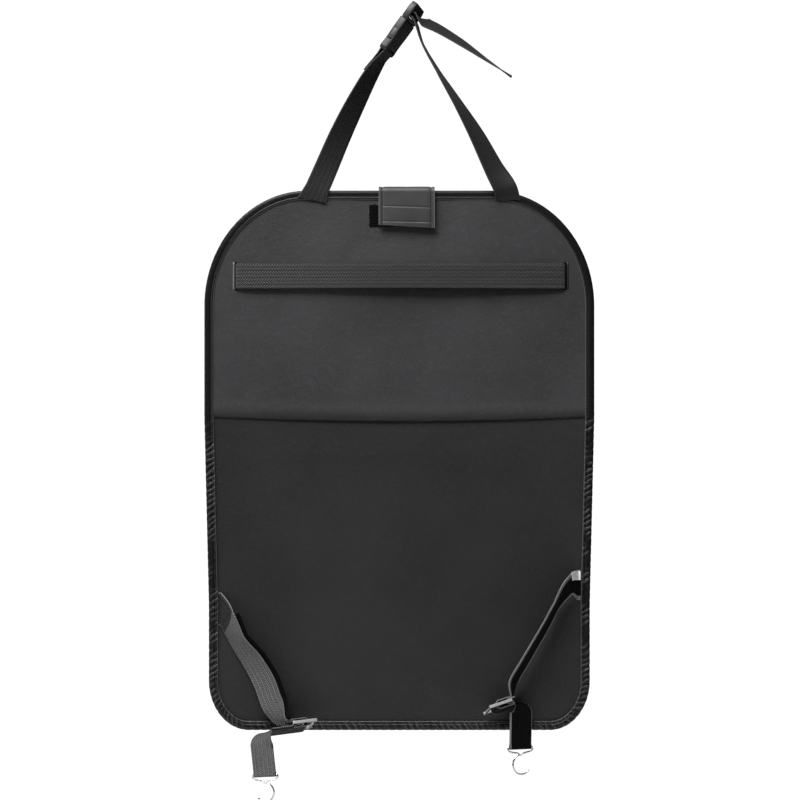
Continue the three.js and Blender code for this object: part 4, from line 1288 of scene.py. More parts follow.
# %% Right top strap
right_foot = Vector((114, ROOT_Y, PANEL_TOP))
ladder = buckle_place(LADDER_AT, 0)
leg_in = buckle_place(LADDER_AT - BAR_LOOP, 0)
RIGHT_STOPS = ((0.006, -2.4, -4.5, 8), (0.13, -2.4, -2.5, 34), (0.315, -1.1, -1, 49),
               (0.499, -2.4, -0.7, 66), (0.684, -4.8, 0, 79), (0.839, -5.3, -1.4, 84))
right_way = curve_frames(
    [root_stop(114, 1.02, 0)]
    + [strap_stop(right_foot, ladder, *numbers) for numbers in RIGHT_STOPS]
    + [(buckle_place(LADDER_AT - BAR_LOOP, 5), BUCKLE_ACROSS), (leg_in, BUCKLE_ACROSS)], STRAP_STEPS)
round_ladder = bar_frames(Frame(leg_in, BUCKLE_ACROSS, -BUCKLE_AXIS), BAR_LOOP, False)


# %% [markdown]
# What is left over is the free tail. It falls to the right and turns on edge, so it looks like a thin
# blade that ends in a point. Both parts are one strap, so they are one sweep.

# %% Free tail
TAIL_LENGTH = 122.8
TAIL_TRAVEL = Vector((0.871, 0, -0.491))
TAIL_RISE = Vector((0.491, 0, 0.871))
TAIL_STOPS = ((0.131, 0.1, 60), (0.245, 0.9, 63), (0.485, 0, 68), (0.733, -2.7, 78), (1, -5.3, 87))


def tail_stop(share, bow, degrees):
    """A place on the tail: its share of the way, its rise above the straight line and its turn."""
    place = ladder + TAIL_TRAVEL * share * TAIL_LENGTH + TAIL_RISE * bow
    place.y = ROOT_Y + 0.3
    return (place, turned_width(TAIL_TRAVEL, 180 - degrees))


free_end = curve_frames(
    [(buckle_place(LADDER_AT + BAR_LOOP, out), BUCKLE_ACROSS) for out in (0, 5.5)]
    + [tail_stop(*numbers) for numbers in TAIL_STOPS], STRAP_STEPS)
right_route = right_way + round_ladder[1:] + free_end[1:]
web_piece("right_top_webbing", "top_strap_right", right_route, 25.4, RIGHT_TOP_WEB)

# %% [markdown]
# Each lower strap leaves the side seam, wraps the middle bar of a slider, hangs down to a wire hook and
# comes back up to the slider's end bar. The slider's own directions come first, because the strap has to
# lie square on its bars.


# %% Sliders
class Slider:
    """The frame of a three bar slider: travel lies along it, across along its bars, up on its face."""

    def __init__(self, centre, outward, bars):
        self.centre = centre
        self.across = bars.normalized()
        self.travel = (outward - self.across * outward.dot(self.across)).normalized()
        face = self.travel.cross(self.across).normalized()
        self.up = face if face.z > 0 else -face

    def at(self, along, out):
        """A place in the slider, measured along it and out of its face."""
        return self.centre + self.travel * along + self.up * out


def from_corner(side, inwards, out, up):
    """A place measured from a lower corner of the panel: inwards, out towards the seat, and up."""
    return Vector((side * (LOWER_HALF - inwards), -out, up - PANEL_TOP))


LEFT_INSET, LEFT_RISE = 99, 8
RIGHT_INSET, RIGHT_RISE = 97.4, 26.8
SLIDER_OUT = 21.5
left_slider = Slider(
    from_corner(-1, LEFT_INSET, SLIDER_OUT, LEFT_RISE), Vector((-0.964, -0.247, -0.099)),
    Vector((-0.2, 0.915, -0.35)))
right_slider = Slider(
    from_corner(1, RIGHT_INSET, SLIDER_OUT, RIGHT_RISE), Vector((0.921, 0.277, 0.275)),
    Vector((-0.18, 0.927, -0.328)))
print("sliders at", left_slider.centre, right_slider.centre)

# %% [markdown]
# Both hanging layers are the same strap as the one from the seam, so the whole route is one sweep, which
# can't come apart at a bar. The straight ways, the turns and the half turns round the bars are joined
# one after the other, as the strap is threaded.

# %% Route of a lower strap
SEAM_INSET = 9.9
END_BAR = 10.5
PAST_SLIDER = 17.75


def way_stop(side, seam_rise, slider_inset, slider_rise, share, bow, out, width):
    """A place on the way from the seam to the slider."""
    inset = SEAM_INSET + (slider_inset - SEAM_INSET) * share + bow
    return (from_corner(side, inset, out, seam_rise + (slider_rise - seam_rise) * share), width)


def lower_route(slider, side, width, seam_rise, seam_width, stops, run, turn, travel, hang_turn, hang):
    """The frames of a lower strap, and the frame where the hook's bar lies."""
    seam = from_corner(side, SEAM_INSET, 1.0, seam_rise)
    inward = Vector((-side, 0, 0))
    sewn = Frame.along(seam, inward, Vector((0, 0, seam_width)))
    outer = BAR_LOOP + WEB_THICK + LOOP_GAP
    arriving = curve_frames(
        [(seam + inward * 3, Vector((0, 0, seam_width)), True)] + stops
        + [(slider.at(along, outer), width) for along in (PAST_SLIDER, END_BAR, 0)], STRAP_STEPS)
    around = bar_frames(arriving[-1], outer, True)
    leaving = Frame.along(slider.at(0, -(BAR_LOOP + outer) / 2), slider.travel, width)
    turned = Matrix.Rotation(math.radians(hang_turn), 3, "Z") @ Vector((1, 0, 0))
    down = Frame.along(Vector((0, 0, 0)), travel, square_to(turned, travel))
    straight = [leaving.moved(11.75, 0), leaving.moved(12.75 + run, 0)]
    turning = turning_frames(straight[-1], down.turn, turn, 12)
    hanging = [turning[-1].moved(hang * share, 0) for share in (0.15, 0.3, 0.45, 0.6, 0.8, 1)]
    base = straight + turning + hanging
    half = (WEB_THICK + LOOP_GAP) / 2
    below = [stop.moved(0, -half) for stop in base]
    above = [stop.moved(0, half).reversed() for stop in reversed(base)]
    hook_loop = WIRE_RADIUS + LOOP_GAP + WEB_THICK / 2
    loop = bar_frames(base[-1].moved(HOOK_BELOW, -hook_loop), hook_loop, True)
    home = Frame.along(slider.at(END_BAR, -BAR_LOOP), -slider.travel, width)
    home_loop = bar_frames(home, BAR_LOOP, False)
    end = home_loop[-1].moved(7, 0)
    route = [sewn] + arriving + around[1:] + below + loop + above + home_loop + [end]
    return route, base[-1].moved(HOOK_BELOW, 0)


# %% [markdown]
# The left lower strap catches the light until it goes under the slider, where it lies in the slider's
# shade. Its webbing is a lighter copy, a painted highlight, with a black foot, a painted shadow, and the
# faces in the slider's shade get the near-black webbing, a painted shade. Its stops are (share of the
# way, inwards, out, degrees of turn).

# %% Left lower strap
LEFT_SEAM_RISE = 127.3
LEFT_LOW_STOPS = ((0.084, 2.6, 10.5, 42), (0.274, -3.6, 11, 46), (0.453, -4.2, 10, 30),
                  (0.633, -7.8, 12, 20), (0.834, -16, 17, 20))
left_lean = Vector((0.45, 0, -0.89))
left_stops = [
    way_stop(-1, LEFT_SEAM_RISE, LEFT_INSET, LEFT_RISE, share, bow, out, -turned_width(left_lean, degrees))
    for share, bow, out, degrees in LEFT_LOW_STOPS]
left_low_route, left_hook_place = lower_route(
    left_slider, -1, -left_slider.across, LEFT_SEAM_RISE, 1.35, left_stops, 22, 18,
    Vector((0.106, 0, -0.994)), -25, 28)
left_lower = web_piece(
    "left_lower_webbing", "lower_strap_left", left_low_route, 25.4, LEFT_LIT_WEB)
SHADE_RIGHT_OF = -0.132
SHADE_LOW, SHADE_HIGH = -0.296, -0.2765
# Painted shade: the faces under the slider get the near-black webbing.
left_lower.data.materials.append(SHADE_WEB)
for face in left_lower.data.polygons:
    if face.center.x > SHADE_RIGHT_OF and SHADE_LOW < face.center.z < SHADE_HIGH:
        face.material_index = 1

# %% [markdown]
# Beside that strap the photograph shows the dark edge of a second layer, which lies behind it and a
# little to the side. It is a part of the same route, so it turns with the strap.

# %% Second layer
SECOND_BEHIND = -1.9
SECOND_ASIDE = 7.5
SECOND_WIDTH = 20.0
SECOND_FROM, SECOND_TO = 16, 92
second_section = web_section(SECOND_WIDTH)
second_layer, second_length = sweep(
    "left_second_layer",
    [stop.moved(0, SECOND_BEHIND, SECOND_ASIDE) for stop in left_low_route[SECOND_FROM:SECOND_TO]],
    lambda j: second_section)
# Painted shade: the layer gets the near-black webbing, which also paints the shadow beside the strap.
finish_piece(second_layer, SHADE_WEB)
second_length * MM

# %% [markdown]
# The right lower strap is turned almost on edge, so it looks narrow and black, with a pale rim. Its
# webbing is a near-black copy, a painted shade, and the broad pale rim on that stretch is a painted
# highlight.

# %% Right lower strap
RIGHT_SEAM_RISE = 152.3
RIGHT_LOW_STOPS = ((0, 10.6, 11.5, -48), (0.167, 11.2, 15, -68), (0.326, 8, 16, -66),
                   (0.635, 3.6, 18, -64), (0.789, 1, 19, -62))
right_lean = Vector((-0.509, 0, -0.861))
right_stops = [
    way_stop(1, RIGHT_SEAM_RISE, RIGHT_INSET, RIGHT_RISE, share, bow, out, -turned_width(right_lean, degrees))
    for share, bow, out, degrees in RIGHT_LOW_STOPS]
right_low_route, right_hook_place = lower_route(
    right_slider, 1, right_slider.across, RIGHT_SEAM_RISE, -1.25, right_stops, 2, 14,
    Vector((-0.02, 0, -1)), 28, 33)
# Painted shade and painted highlight: the near-black copy of the webbing with its broad pale rim.
web_piece("right_lower_webbing", "lower_strap_right", right_low_route, 25.4, RIGHT_SHADED_WEB)
print("hooks at", left_hook_place.place, right_hook_place.place)

# %% [markdown]
# Each hook is bent from one wire: a bar that lies in the strap's loop, a shoulder at each end, and one
# round curl below. It could be built from rods and rings, but a circle carried along the bent line has
# no joints, as the wire has none. The hook swings on its bar, so it moves with a body of its own.

# %% Wire hooks
WIRE_STEPS = 150


def hook_piece(name, node, body, place, side):
    """One bent wire with its bar at a frame in the strap's loop."""
    half, corner, neck, curl = 14.7, 1.6, 7.4, 10.4
    neck_x = 1.25
    points = [
        (neck_x, neck - 0.6), (half - corner, 4.4), (half, 1.7 * corner), (half - 0.4 * corner, 0.4),
        (half - 1.4 * corner, 0), (0, 0), (1.4 * corner - half, 0), (0.4 * corner - half, 0.4),
        (-half, 1.7 * corner), (corner - half, 4.4), (-neck_x - 1.5, neck - 0.4), (0.2 - neck_x, neck + 1.1)]
    for step in range(1, 17):
        angle = math.radians(86 - step * 235 / 16)
        points.append((curl * math.cos(angle) - 2, neck + curl + 0.4 - curl * math.sin(angle)))
    right = place.width.normalized()
    up = -place.travel
    deep = up.cross(right)
    path = [place.place + right * side * x - up * down for x, down in points]
    frames = []
    for j in range(WIRE_STEPS + 1):
        travel = curve_travel(path, j / WIRE_STEPS)
        frames.append(Frame.along(curve_point(path, j / WIRE_STEPS), travel, deep.cross(travel)))

    def section(j):
        radius = WIRE_RADIUS if 0 < j < WIRE_STEPS else 0.7
        return [(radius * math.cos(math.pi * k / 6), radius * math.sin(math.pi * k / 6)) for k in range(12)]

    piece, _ = sweep(name, frames, section)
    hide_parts(node)
    return finish_piece(piece, PLATED_WIRE, body=body)


hook_piece("left_wire", "wire_hook_left", "left_hook", left_hook_place, 1)
hook_piece("right_wire", "wire_hook_right", "right_hook", right_hook_place, -1)

# %% [markdown]
# The buckle halves and the sliders are moulded, and their solids already have the right shape. They
# could be kept as they are, but no moulding has a sharp edge, and a round one catches the light. So a
# merged copy gets a small bevel on every edge, and the bevel has a paler finish of its own, a painted
# highlight for the light that a round edge catches.


# %% Moulded pieces
def moulded_piece(name, node, round_edge, material, edge_highlight_material):
    """A copy of a solid with rounded edges, in one material for its faces and a paler one for its edges, a
    painted highlight.
    """
    bpy.ops.object.select_all(action="DESELECT")
    piece = bpy.data.objects.new(name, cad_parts[node].data.copy())
    bpy.context.scene.collection.objects.link(piece)
    select_only(piece)
    bpy.ops.object.mode_set(mode="EDIT")
    bpy.ops.mesh.select_all(action="SELECT")
    bpy.ops.mesh.remove_doubles(threshold=1e-5)
    bpy.ops.mesh.dissolve_limited(angle_limit=math.radians(1.5))
    bpy.ops.object.mode_set(mode="OBJECT")
    rounding = piece.modifiers.new("rounding", "BEVEL")
    rounding.width = round_edge * MM
    rounding.segments = 2
    rounding.limit_method = "ANGLE"
    rounding.angle_limit = math.radians(38)
    rounding.material = 1
    piece.data.materials.clear()
    piece.data.materials.append(material)
    piece.data.materials.append(edge_highlight_material)
    bpy.ops.object.modifier_apply(modifier=rounding.name)
    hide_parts(node)
    return finish_piece(piece, None, smooth_below=40)


moulded_piece("socket_moulding", "buckle_socket", 0.35, GREY_PLASTIC, BUCKLE_EDGE_HIGHLIGHT)
moulded_piece("plug_moulding", "buckle_plug", 0.35, GREY_PLASTIC, BUCKLE_EDGE_HIGHLIGHT)

# %% [markdown]
# In the photograph the edges of both sliders shine almost white. So every face of a slider that doesn't
# look along its up direction gets the pale edge finish, a painted highlight, and its broad faces stay
# black.

# %% Slider edges
BROAD_FACE = 0.8
for name, node, slider in (
        ("left_slider_moulding", "slider_left", left_slider),
        ("right_slider_moulding", "slider_right", right_slider)):
    moulding = moulded_piece(name, node, 0.8, BLACK_PLASTIC, SLIDER_EDGE_HIGHLIGHT)
    for face in moulding.data.polygons:
        face.material_index = 1 if abs(face.normal.dot(slider.up)) < BROAD_FACE else 0

# %% [markdown]
# The tab closes the tablet sleeve. It is two layers of leather, and it is folded over the top edge. A
# bent slab would stretch its stitching at the folds. Instead, one grid follows the fold by its length,
# from the lower end on the back to the end on the pocket side.

# %% The tab's fold
TAB_CENTRE = 7.7
TAB_WIDE = 58.8
TAB_BACK = -6.4
TAB_FRONT = 21.2
TAB_TOP = PANEL_TOP + 2.1
TAB_FRONT_END = PANEL_TOP - 42
TAB_BEND = 3.8
TAB_TILT = math.tan(math.radians(3.3))
TAB_CHART_BASE = 240.0


def tab_low(x):
    """Height of the tab's lower end on the back, which hangs a little lower on the right."""
    return PANEL_TOP - 38.2 - (x - TAB_CENTRE) * TAB_TILT


def tab_fold(along):
    """The fold seen from the side: (y, z) and the outward direction, at a length above the chart base."""
    straight = TAB_TOP - TAB_BEND - TAB_CHART_BASE
    arc = TAB_BEND * math.pi / 2
    top = TAB_FRONT - TAB_BACK - 2 * TAB_BEND
    if along < straight:
        return TAB_BACK, TAB_CHART_BASE + along, -1.0, 0.0
    if along < straight + arc:
        angle = (along - straight) / TAB_BEND
        out_y, out_z = -math.cos(angle), math.sin(angle)
        return TAB_BACK + TAB_BEND * (1 + out_y), TAB_TOP - TAB_BEND * (1 - out_z), out_y, out_z
    if along < straight + arc + top:
        return TAB_BACK + TAB_BEND + along - straight - arc, TAB_TOP, 0.0, 1.0
    if along < straight + 2 * arc + top:
        angle = (along - straight - arc - top) / TAB_BEND
        out_y, out_z = math.sin(angle), math.cos(angle)
        return TAB_FRONT - TAB_BEND * (1 - out_y), TAB_TOP - TAB_BEND * (1 - out_z), out_y, out_z
    return TAB_FRONT, TAB_TOP - TAB_BEND - (along - straight - 2 * arc - top), 1.0, 0.0


TAB_LENGTH = ((TAB_TOP - TAB_BEND) * 2 - TAB_CHART_BASE - TAB_FRONT_END + math.pi * TAB_BEND
              + TAB_FRONT - TAB_BACK - 2 * TAB_BEND)
print("tab ends at", round(TAB_LENGTH), "mm above its chart base")

# %% [markdown]
# The tab is stitched round its edge and twice across, and the thread presses grooves into the leather.
# The grooves are in the surface itself, because a low light shows them, and between them the leather
# is a little padded.

# %% The tab's surface
SEAM_SIDE = 25.6
TAB_COLUMNS, TAB_ROWS = 72, 150


def across_seam(x):
    """Where the rows of stitching cross the back leg: the one near its end, and the one in the middle."""
    slope = (x - TAB_CENTRE + 24) / 51
    return 250.6 - 1.2 * slope - TAB_CHART_BASE, 266.6 - 1.7 * slope - TAB_CHART_BASE


def tab_relief(x, along):
    """How far the leather stands out, with its grooves and its padding."""
    side = abs(x - TAB_CENTRE)
    low_seam, middle_seam = across_seam(x)
    groove = bell(side - SEAM_SIDE, 0.8)
    if side < SEAM_SIDE:
        groove = max(groove, bell(along - low_seam, 0.7), bell(along - middle_seam, 0.7))
    padding = clamp((SEAM_SIDE - side) / 5) * 0.25
    return padding - 0.45 * groove + 0.12 * swell(x, 0, along, 12.0, 2.0)


def tab_point(i, j):
    """The x of a column, and the length along the fold of a grid point."""
    x = TAB_CENTRE + (i / TAB_COLUMNS - 0.5) * TAB_WIDE
    start = tab_low(x) - TAB_CHART_BASE
    return x, start + (TAB_LENGTH - start) * j / TAB_ROWS


def tab_place(i, j):
    x, along = tab_point(i, j)
    y, z, out_y, out_z = tab_fold(along)
    lift = tab_relief(x, along)
    return Vector((x, y + out_y * lift, z + out_z * lift))


def tab_chart(i, j):
    return (i / TAB_COLUMNS * TAB_WIDE, tab_point(i, j)[1])


tab = lay_grid("folded_tab", TAB_COLUMNS, TAB_ROWS, tab_place, tab_chart)
thicken(tab, 1.6, -1)
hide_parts("closing_tab")

# %% [markdown]
# The tab's leather is a little lighter than the panel's, its cut edges are lighter still, and the rows
# of stitching lie in dark lines. All of that follows the tab's own UV map, round the folds as well. The
# numbers are metres on that map.


# %% Tab leather
def line_at(distance, narrow, wide):
    """1 on a line and 0 beside it, from the distance to the line."""
    return 1.0 - distance.math("ABSOLUTE", distance).step(narrow, wide)


def stitched_leather():
    made = Finish("stitched_leather", Specular_IOR_Level=0.45)
    across, along = made.across_and_along()
    cloud = made.noise(30.0, 3.0)
    pebbles = made.cells(1500.0, "SMOOTH_F1")
    centred = across - TAB_WIDE * MM / 2
    side = centred.math("ABSOLUTE", centred)
    groove_side = line_at(side - SEAM_SIDE * MM, 0.0003, 0.0011)
    slope = across / 0.051
    inside = 1.0 - side.step(0.0252, 0.0256)
    low_groove = line_at(along - 0.0106 + slope * 0.0012, 0.0003, 0.0009) * inside
    middle_groove = line_at(along - 0.0266 + slope * 0.0017, 0.0003, 0.0009) * inside
    grooves = groove_side.math("MAXIMUM", groove_side, low_groove)
    grooves = grooves.math("MAXIMUM", grooves, middle_groove)
    edge = side.step(0.0282, 0.0291)
    colour = made.mix(cloud.step(0.3, 0.7), grey(0.031, 1.05), grey(0.043, 1.05))
    edged = made.mix(edge * 0.7, colour, grey(0.15, 1.02))
    sewn = made.mix(grooves * 0.85, edged, grey(0.006, 1.0))
    made.set(Base_Color=sewn, Roughness=cloud * 0.12 + 0.42)
    made.bump(pebbles * 0.5 - grooves * 0.6, 0.0004, 0.5)
    return made.material


finish_piece(tab, stitched_leather())
(TAB_LENGTH - 5) * MM

# %% [markdown]
# The fuzzy half of the fastening is sewn on the panel and sticks out on the tab's left. Its loops make
# its face rough and its outline ragged. Thousands of hairs would do it too, but at this distance a thick
# patch whose points are shaken by a fine cloud looks the same.

# %% Fuzzy patch
FUZZ_COLUMNS, FUZZ_ROWS = 100, 46
FUZZ_LEFT, FUZZ_LOW = -31.5, 245.25
FUZZ_WIDE, FUZZ_HIGH = 51, 23


def fuzz_place(i, j):
    x = FUZZ_LEFT + FUZZ_WIDE * i / FUZZ_COLUMNS
    z = FUZZ_LOW + FUZZ_HIGH * j / FUZZ_ROWS
    ragged = 1.1 if i in (0, FUZZ_COLUMNS) or j in (0, FUZZ_ROWS) else 0.25
    x += ragged * swell(x, 3, z, 1.9, 9.0)
    z += ragged * swell(x, 8, z, 1.9, 4.0)
    rim = min(i, FUZZ_COLUMNS - i, 2 * j, 2 * (FUZZ_ROWS - j)) / 5
    y = -2.05 - 0.5 * min(1.0, rim) - 0.28 * swell(x, 5, z, 1.1, 1.0)
    return Vector((x, y, z))


fuzzy = lay_grid("fuzzy_patch", FUZZ_COLUMNS, FUZZ_ROWS, fuzz_place, lambda i, j: (i * 0.5, j * 0.5))
thicken(fuzzy, 0.5, -1)
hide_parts("loop_patch")
finish_piece(fuzzy, LOOP_PILE, smooth_below=80)

# %% [markdown]
# The storage side has a tablet sleeve with a clear window, two pockets below it and one wide pocket at
# the bottom. The photograph doesn't show this side, so it is built as such organizers are. A pocket is
# one cut of leather: a flat hem sewn to the front sheet on three sides, a soft rise from it, and a slack
# face. A box with a bevel would look hard, so the face is one surface with pulls and wrinkles.

# %% Pocket sizes
POCKET_BASE = 5.9
HEM_FLAT = 6.0
RISE = 15.0
CORNER = 16.0
COLUMNS = 84
ROWS = 60


def spread(share):
    """Moves grid lines closer together near both ends."""
    return math.sin(math.pi * (share - 0.5)) * 0.5 + 0.5


class Pocket:
    """Sizes of one pocket in millimetres, and the surface of its face."""

    def __init__(self, x0, x1, z0, z1, depth, slack, seed):
        self.x0, self.x1, self.z0, self.z1 = x0, x1, z0, z1
        self.depth, self.slack, self.seed = depth, slack, seed
        self.middle, self.half = (x0 + x1) / 2, (x1 - x0) / 2

    def half_at(self, z):
        """Half the pocket's width at a height, less in its round lower corners."""
        rise = CORNER - (z - self.z0)
        if rise <= 0:
            return self.half
        return self.half - CORNER + math.sqrt(max(0.0, CORNER ** 2 - rise ** 2))

    def inward(self, x, z):
        """The distance from the pocket's cut edge."""
        beside, above = self.half - abs(x - self.middle), z - self.z0
        if beside < CORNER and above < CORNER:
            return CORNER - math.hypot(CORNER - beside, CORNER - above)
        return min(beside, above)

    def face(self, x, z):
        """The y of the leather: the flat hem, the rise and the slack face."""
        inward = self.inward(x, z)
        if inward < HEM_FLAT:
            return POCKET_BASE + 1.0 + 0.1 * inward / HEM_FLAT
        climb = min(1.0, (inward - HEM_FLAT) / RISE)
        high = self.depth - 1.1
        level = high * (1 - (1 - climb) ** 2.3) ** (1 / 2.0)
        wrinkle = self.slack * swell(x, self.seed, z, 34.0, self.seed)
        pull = 0.6 * math.sin(z / 5.5 + 3 * swell(x, 2, z, 30.0, self.seed)) * bell(climb - 0.45, 0.25)
        crossing = 0.5 * math.sin(x / 6.5 + 3 * swell(x, 6, z, 30.0, self.seed)) * bell(z - self.z0 - 14, 6)
        away = min(1.0, (self.z1 - z) / 20)
        slack = min(0.0, wrinkle - 0.3) + pull * climb + crossing * climb - 0.6
        return POCKET_BASE + 1.1 + level + slack * away

    def place(self, i, j):
        z = self.z1 - (self.z1 - self.z0) * math.sin(math.pi / 2 * j / ROWS)
        x = self.middle + (2 * spread(i / COLUMNS) - 1) * self.half_at(z)
        return Vector((x, self.face(x, z), z))


wide_pocket = Pocket(-166, 166, -261.75, -107.75, 25, 2.6, 5.0)
left_pocket = Pocket(-188, -5, -92.75, 47.25, 19, 2.0, 8.0)
right_pocket = Pocket(5, 188, -92.75, 47.25, 19, 2.0, 13.0)
tablet_pocket = Pocket(-118, 118, 62.25, 263.25, 12, 0.0, 17.0)
print("wide pocket stands out", round(wide_pocket.face(0, -180), 1), "mm")

# %% [markdown]
# The mouth of each pocket is bound with a folded tape, as the panel's edge is: a U carried along the
# mouth from hem to hem.


# %% Pocket sheets and mouths
def pocket_sheet(name, node, pocket):
    def chart(i, j):
        return (pocket.place(i, j).x - pocket.x0, pocket.z1 - pocket.place(i, j).z)

    piece = lay_grid(name, COLUMNS, ROWS, pocket.place, chart)
    thicken(piece, 0.9, 1)
    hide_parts(node)
    wide, high = pocket.x1 - pocket.x0 + pocket.depth, pocket.z1 - pocket.z0 + pocket.depth / 2
    print(name, "cut", round(wide), "by", round(high), "mm")
    return piece, (wide * MM, high * MM)


def mouth_section(reach):
    """A tape folded over a 1 mm hem, in (down, out) from the fold."""
    return [
        (reach, 0.35), (reach, 0.95), (reach * 0.6, 1.05), (1.4, 1.0), (0.5, 0.75), (0.05, 0.1), (0.0, -0.4),
        (0.05, -0.9), (0.5, -1.5), (1.4, -1.8), (reach * 0.6, -1.85), (reach, -1.75), (reach, -1.15),
        (1.5, -1.2), (1.0, -0.8), (1.0, 0.0), (1.5, 0.4)]


def mouth_tape(name, node, pocket):
    """The tape along the mouth, one sweep from hem to hem."""
    places = [pocket.place(i, 0) + Vector((0, 0, 1.15)) for i in range(COLUMNS + 1)]
    frames = []
    for i, place in enumerate(places):
        travel = (places[min(COLUMNS, i + 1)] - places[max(0, i - 1)]).normalized()
        frames.append(Frame.along(place, travel, Vector((0, 0, -1))))
    section = mouth_section(9.0)
    piece, length = sweep(name, frames, lambda j: section)
    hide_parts(node)
    finish_piece(piece, POCKET_TAPE)
    length * MM
    return piece


POCKETS = (
    ("wide_pocket", "bottom_pocket", wide_pocket), ("left_pocket", "middle_pocket_left", left_pocket),
    ("right_pocket", "middle_pocket_right", right_pocket))
for name, node, pocket in POCKETS:
    pocket.name = name
    piece, cut = pocket_sheet(name, node, pocket)
    finish_piece(piece, FRONT_LEATHER)
    mouth_tape(name + "_tape", node + "_binding", pocket)

# %% [markdown]
# The sleeve's face has a window cut in it. A tablet keeps that face flat, so it has no slack. A Boolean
# would leave ragged faces on thin leather. Instead, the grid's lines near the window are moved on to its
# outline, and the faces inside are selected by their place and deleted, before the leather gets its
# thickness.

# %% Tablet sleeve
WINDOW = (-94.0, 94.0, 86.25, 239.25)
SNAP = 2.2
tablet_pocket.name = "tablet_pocket"


def sleeve_place(i, j):
    """The pocket's grid, with lines moved on to the window's outline."""
    place = tablet_pocket.place(i, j)
    for line in (0, 1):
        if abs(place.x - WINDOW[line]) < SNAP:
            place.x = WINDOW[line]
        if abs(place.z - WINDOW[line + 2]) < SNAP:
            place.z = WINDOW[line + 2]
    return place


def sleeve_chart(i, j):
    place = sleeve_place(i, j)
    return (place.x - tablet_pocket.x0, tablet_pocket.z1 - place.z)


sleeve = lay_grid("tablet_pocket", COLUMNS, ROWS, sleeve_place, sleeve_chart)
select_only(sleeve)
bpy.ops.object.mode_set(mode="EDIT")
bpy.ops.mesh.select_all(action="DESELECT")
bpy.ops.object.mode_set(mode="OBJECT")
for face in sleeve.data.polygons:
    middle = face.center / MM
    inside_x = WINDOW[0] < middle.x < WINDOW[1]
    face.select = inside_x and WINDOW[2] < middle.z < WINDOW[3]
bpy.ops.object.mode_set(mode="EDIT")
bpy.ops.mesh.delete(type="FACE")
bpy.ops.object.mode_set(mode="OBJECT")
thicken(sleeve, 0.9, 1)
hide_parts("tablet_sleeve")
finish_piece(sleeve, FRONT_LEATHER)
mouth_tape("tablet_pocket_tape", "sleeve_binding", tablet_pocket)

# %% [markdown]
# Thread holds all of it. A stitch is a small bead of thread whose ends dip into the material. Dashes in
# the material would lie flat, so one bead is modelled, with few faces because there are thousands.

# %% One stitch
STITCH_PITCH = 3.4
bpy.ops.object.select_all(action="DESELECT")
bpy.ops.mesh.primitive_uv_sphere_add(segments=6, ring_count=4, radius=MM)
bead = bpy.context.object
bpy.ops.object.mode_set(mode="EDIT")
bpy.ops.mesh.select_all(action="SELECT")
bpy.ops.transform.resize(value=(0.42, 0.3, 1.25))
bpy.ops.object.mode_set(mode="OBJECT")
BEAD_POINTS = [vertex.co.copy() for vertex in bead.data.vertices]
BEAD_FACES = [tuple(face.vertices) for face in bead.data.polygons]
bpy.ops.object.delete()
print("a stitch has", len(BEAD_FACES), "faces")


# %% [markdown]
# A row repeats the bead along a route, lying on the surface and pointing along the seam. Each copy could
# be an object of its own, but a whole seam is one thread, so its beads are gathered in one mesh.


# %% Rows of stitches
def along_line(places, normals, pitch=STITCH_PITCH):
    """Evenly spaced (place, travel, normal) along a line of places in millimetres."""
    stops, left_over = [], pitch / 2
    for (a, b), normal in zip(zip(places, places[1:]), normals):
        length = (b - a).length
        travel = (b - a).normalized() if length else Vector((1, 0, 0))
        at = left_over
        while at < length:
            stops.append((a + travel * at, travel, normal))
            at += pitch
        left_over = at - length
    return stops


def stitch_row(name, stops, material):
    """One mesh with a bead at every stop."""
    points, faces = [], []
    for place, travel, normal in stops:
        out = (normal - travel * normal.dot(travel)).normalized()
        width = out.cross(travel)
        first = len(points)
        points += [place * MM + width * p.x + out * p.y + travel * p.z for p in BEAD_POINTS]
        faces += [tuple(first + k for k in face) for face in BEAD_FACES]
    mesh = bpy.data.meshes.new(name)
    mesh.from_pydata(points, [], faces)
    piece = bpy.data.objects.new(name, mesh)
    bpy.context.scene.collection.objects.link(piece)
    select_only(piece)
    bpy.ops.object.mode_set(mode="EDIT")
    bpy.ops.mesh.select_all(action="SELECT")
    bpy.ops.mesh.normals_make_consistent(inside=False)
    bpy.ops.object.mode_set(mode="OBJECT")
    return finish_piece(piece, material)


def pocket_seam(pocket, inset):
    """Down one side of a pocket's hem, round the bottom and up the other side."""
    half = pocket.half - inset
    radius = CORNER - inset
    low = pocket.z0 + inset
    y = POCKET_BASE + 1.12
    line = [Vector((pocket.middle - half, y, pocket.z1 - 1))]
    for start, side in ((180, -1), (270, 1)):
        for k in range(9):
            angle = math.radians(start + 90 * k / 8)
            x = pocket.middle + side * (half - radius) + radius * math.cos(angle)
            line.append(Vector((x, y, low + radius + radius * math.sin(angle))))
    line.append(Vector((pocket.middle + half, y, pocket.z1 - 1)))
    return along_line(line, [Vector((0, 1, 0))] * len(line))


# %% [markdown]
# The tape's seam shows on both sides of the panel, since one row of stitches goes through all of it.

# %% Seams of the edge tape
BACK = Vector((0, -1, 0))
FRONT = Vector((0, 1, 0))
seam_line = [f.place + f.width * 7.6 for f in edge_route]
back_line = [place + BACK * (TAPE_BACK + 0.02) for place in seam_line]
front_line = [place + FRONT * (TAPE_FRONT + 0.02) for place in seam_line]
back_row = along_line(back_line, [BACK] * len(back_line))
front_row = along_line(front_line, [FRONT] * len(front_line))
stitch_row("edge_stitches_back", back_row, DARK_THREAD)
stitch_row("edge_stitches_front", front_row, DARK_THREAD)

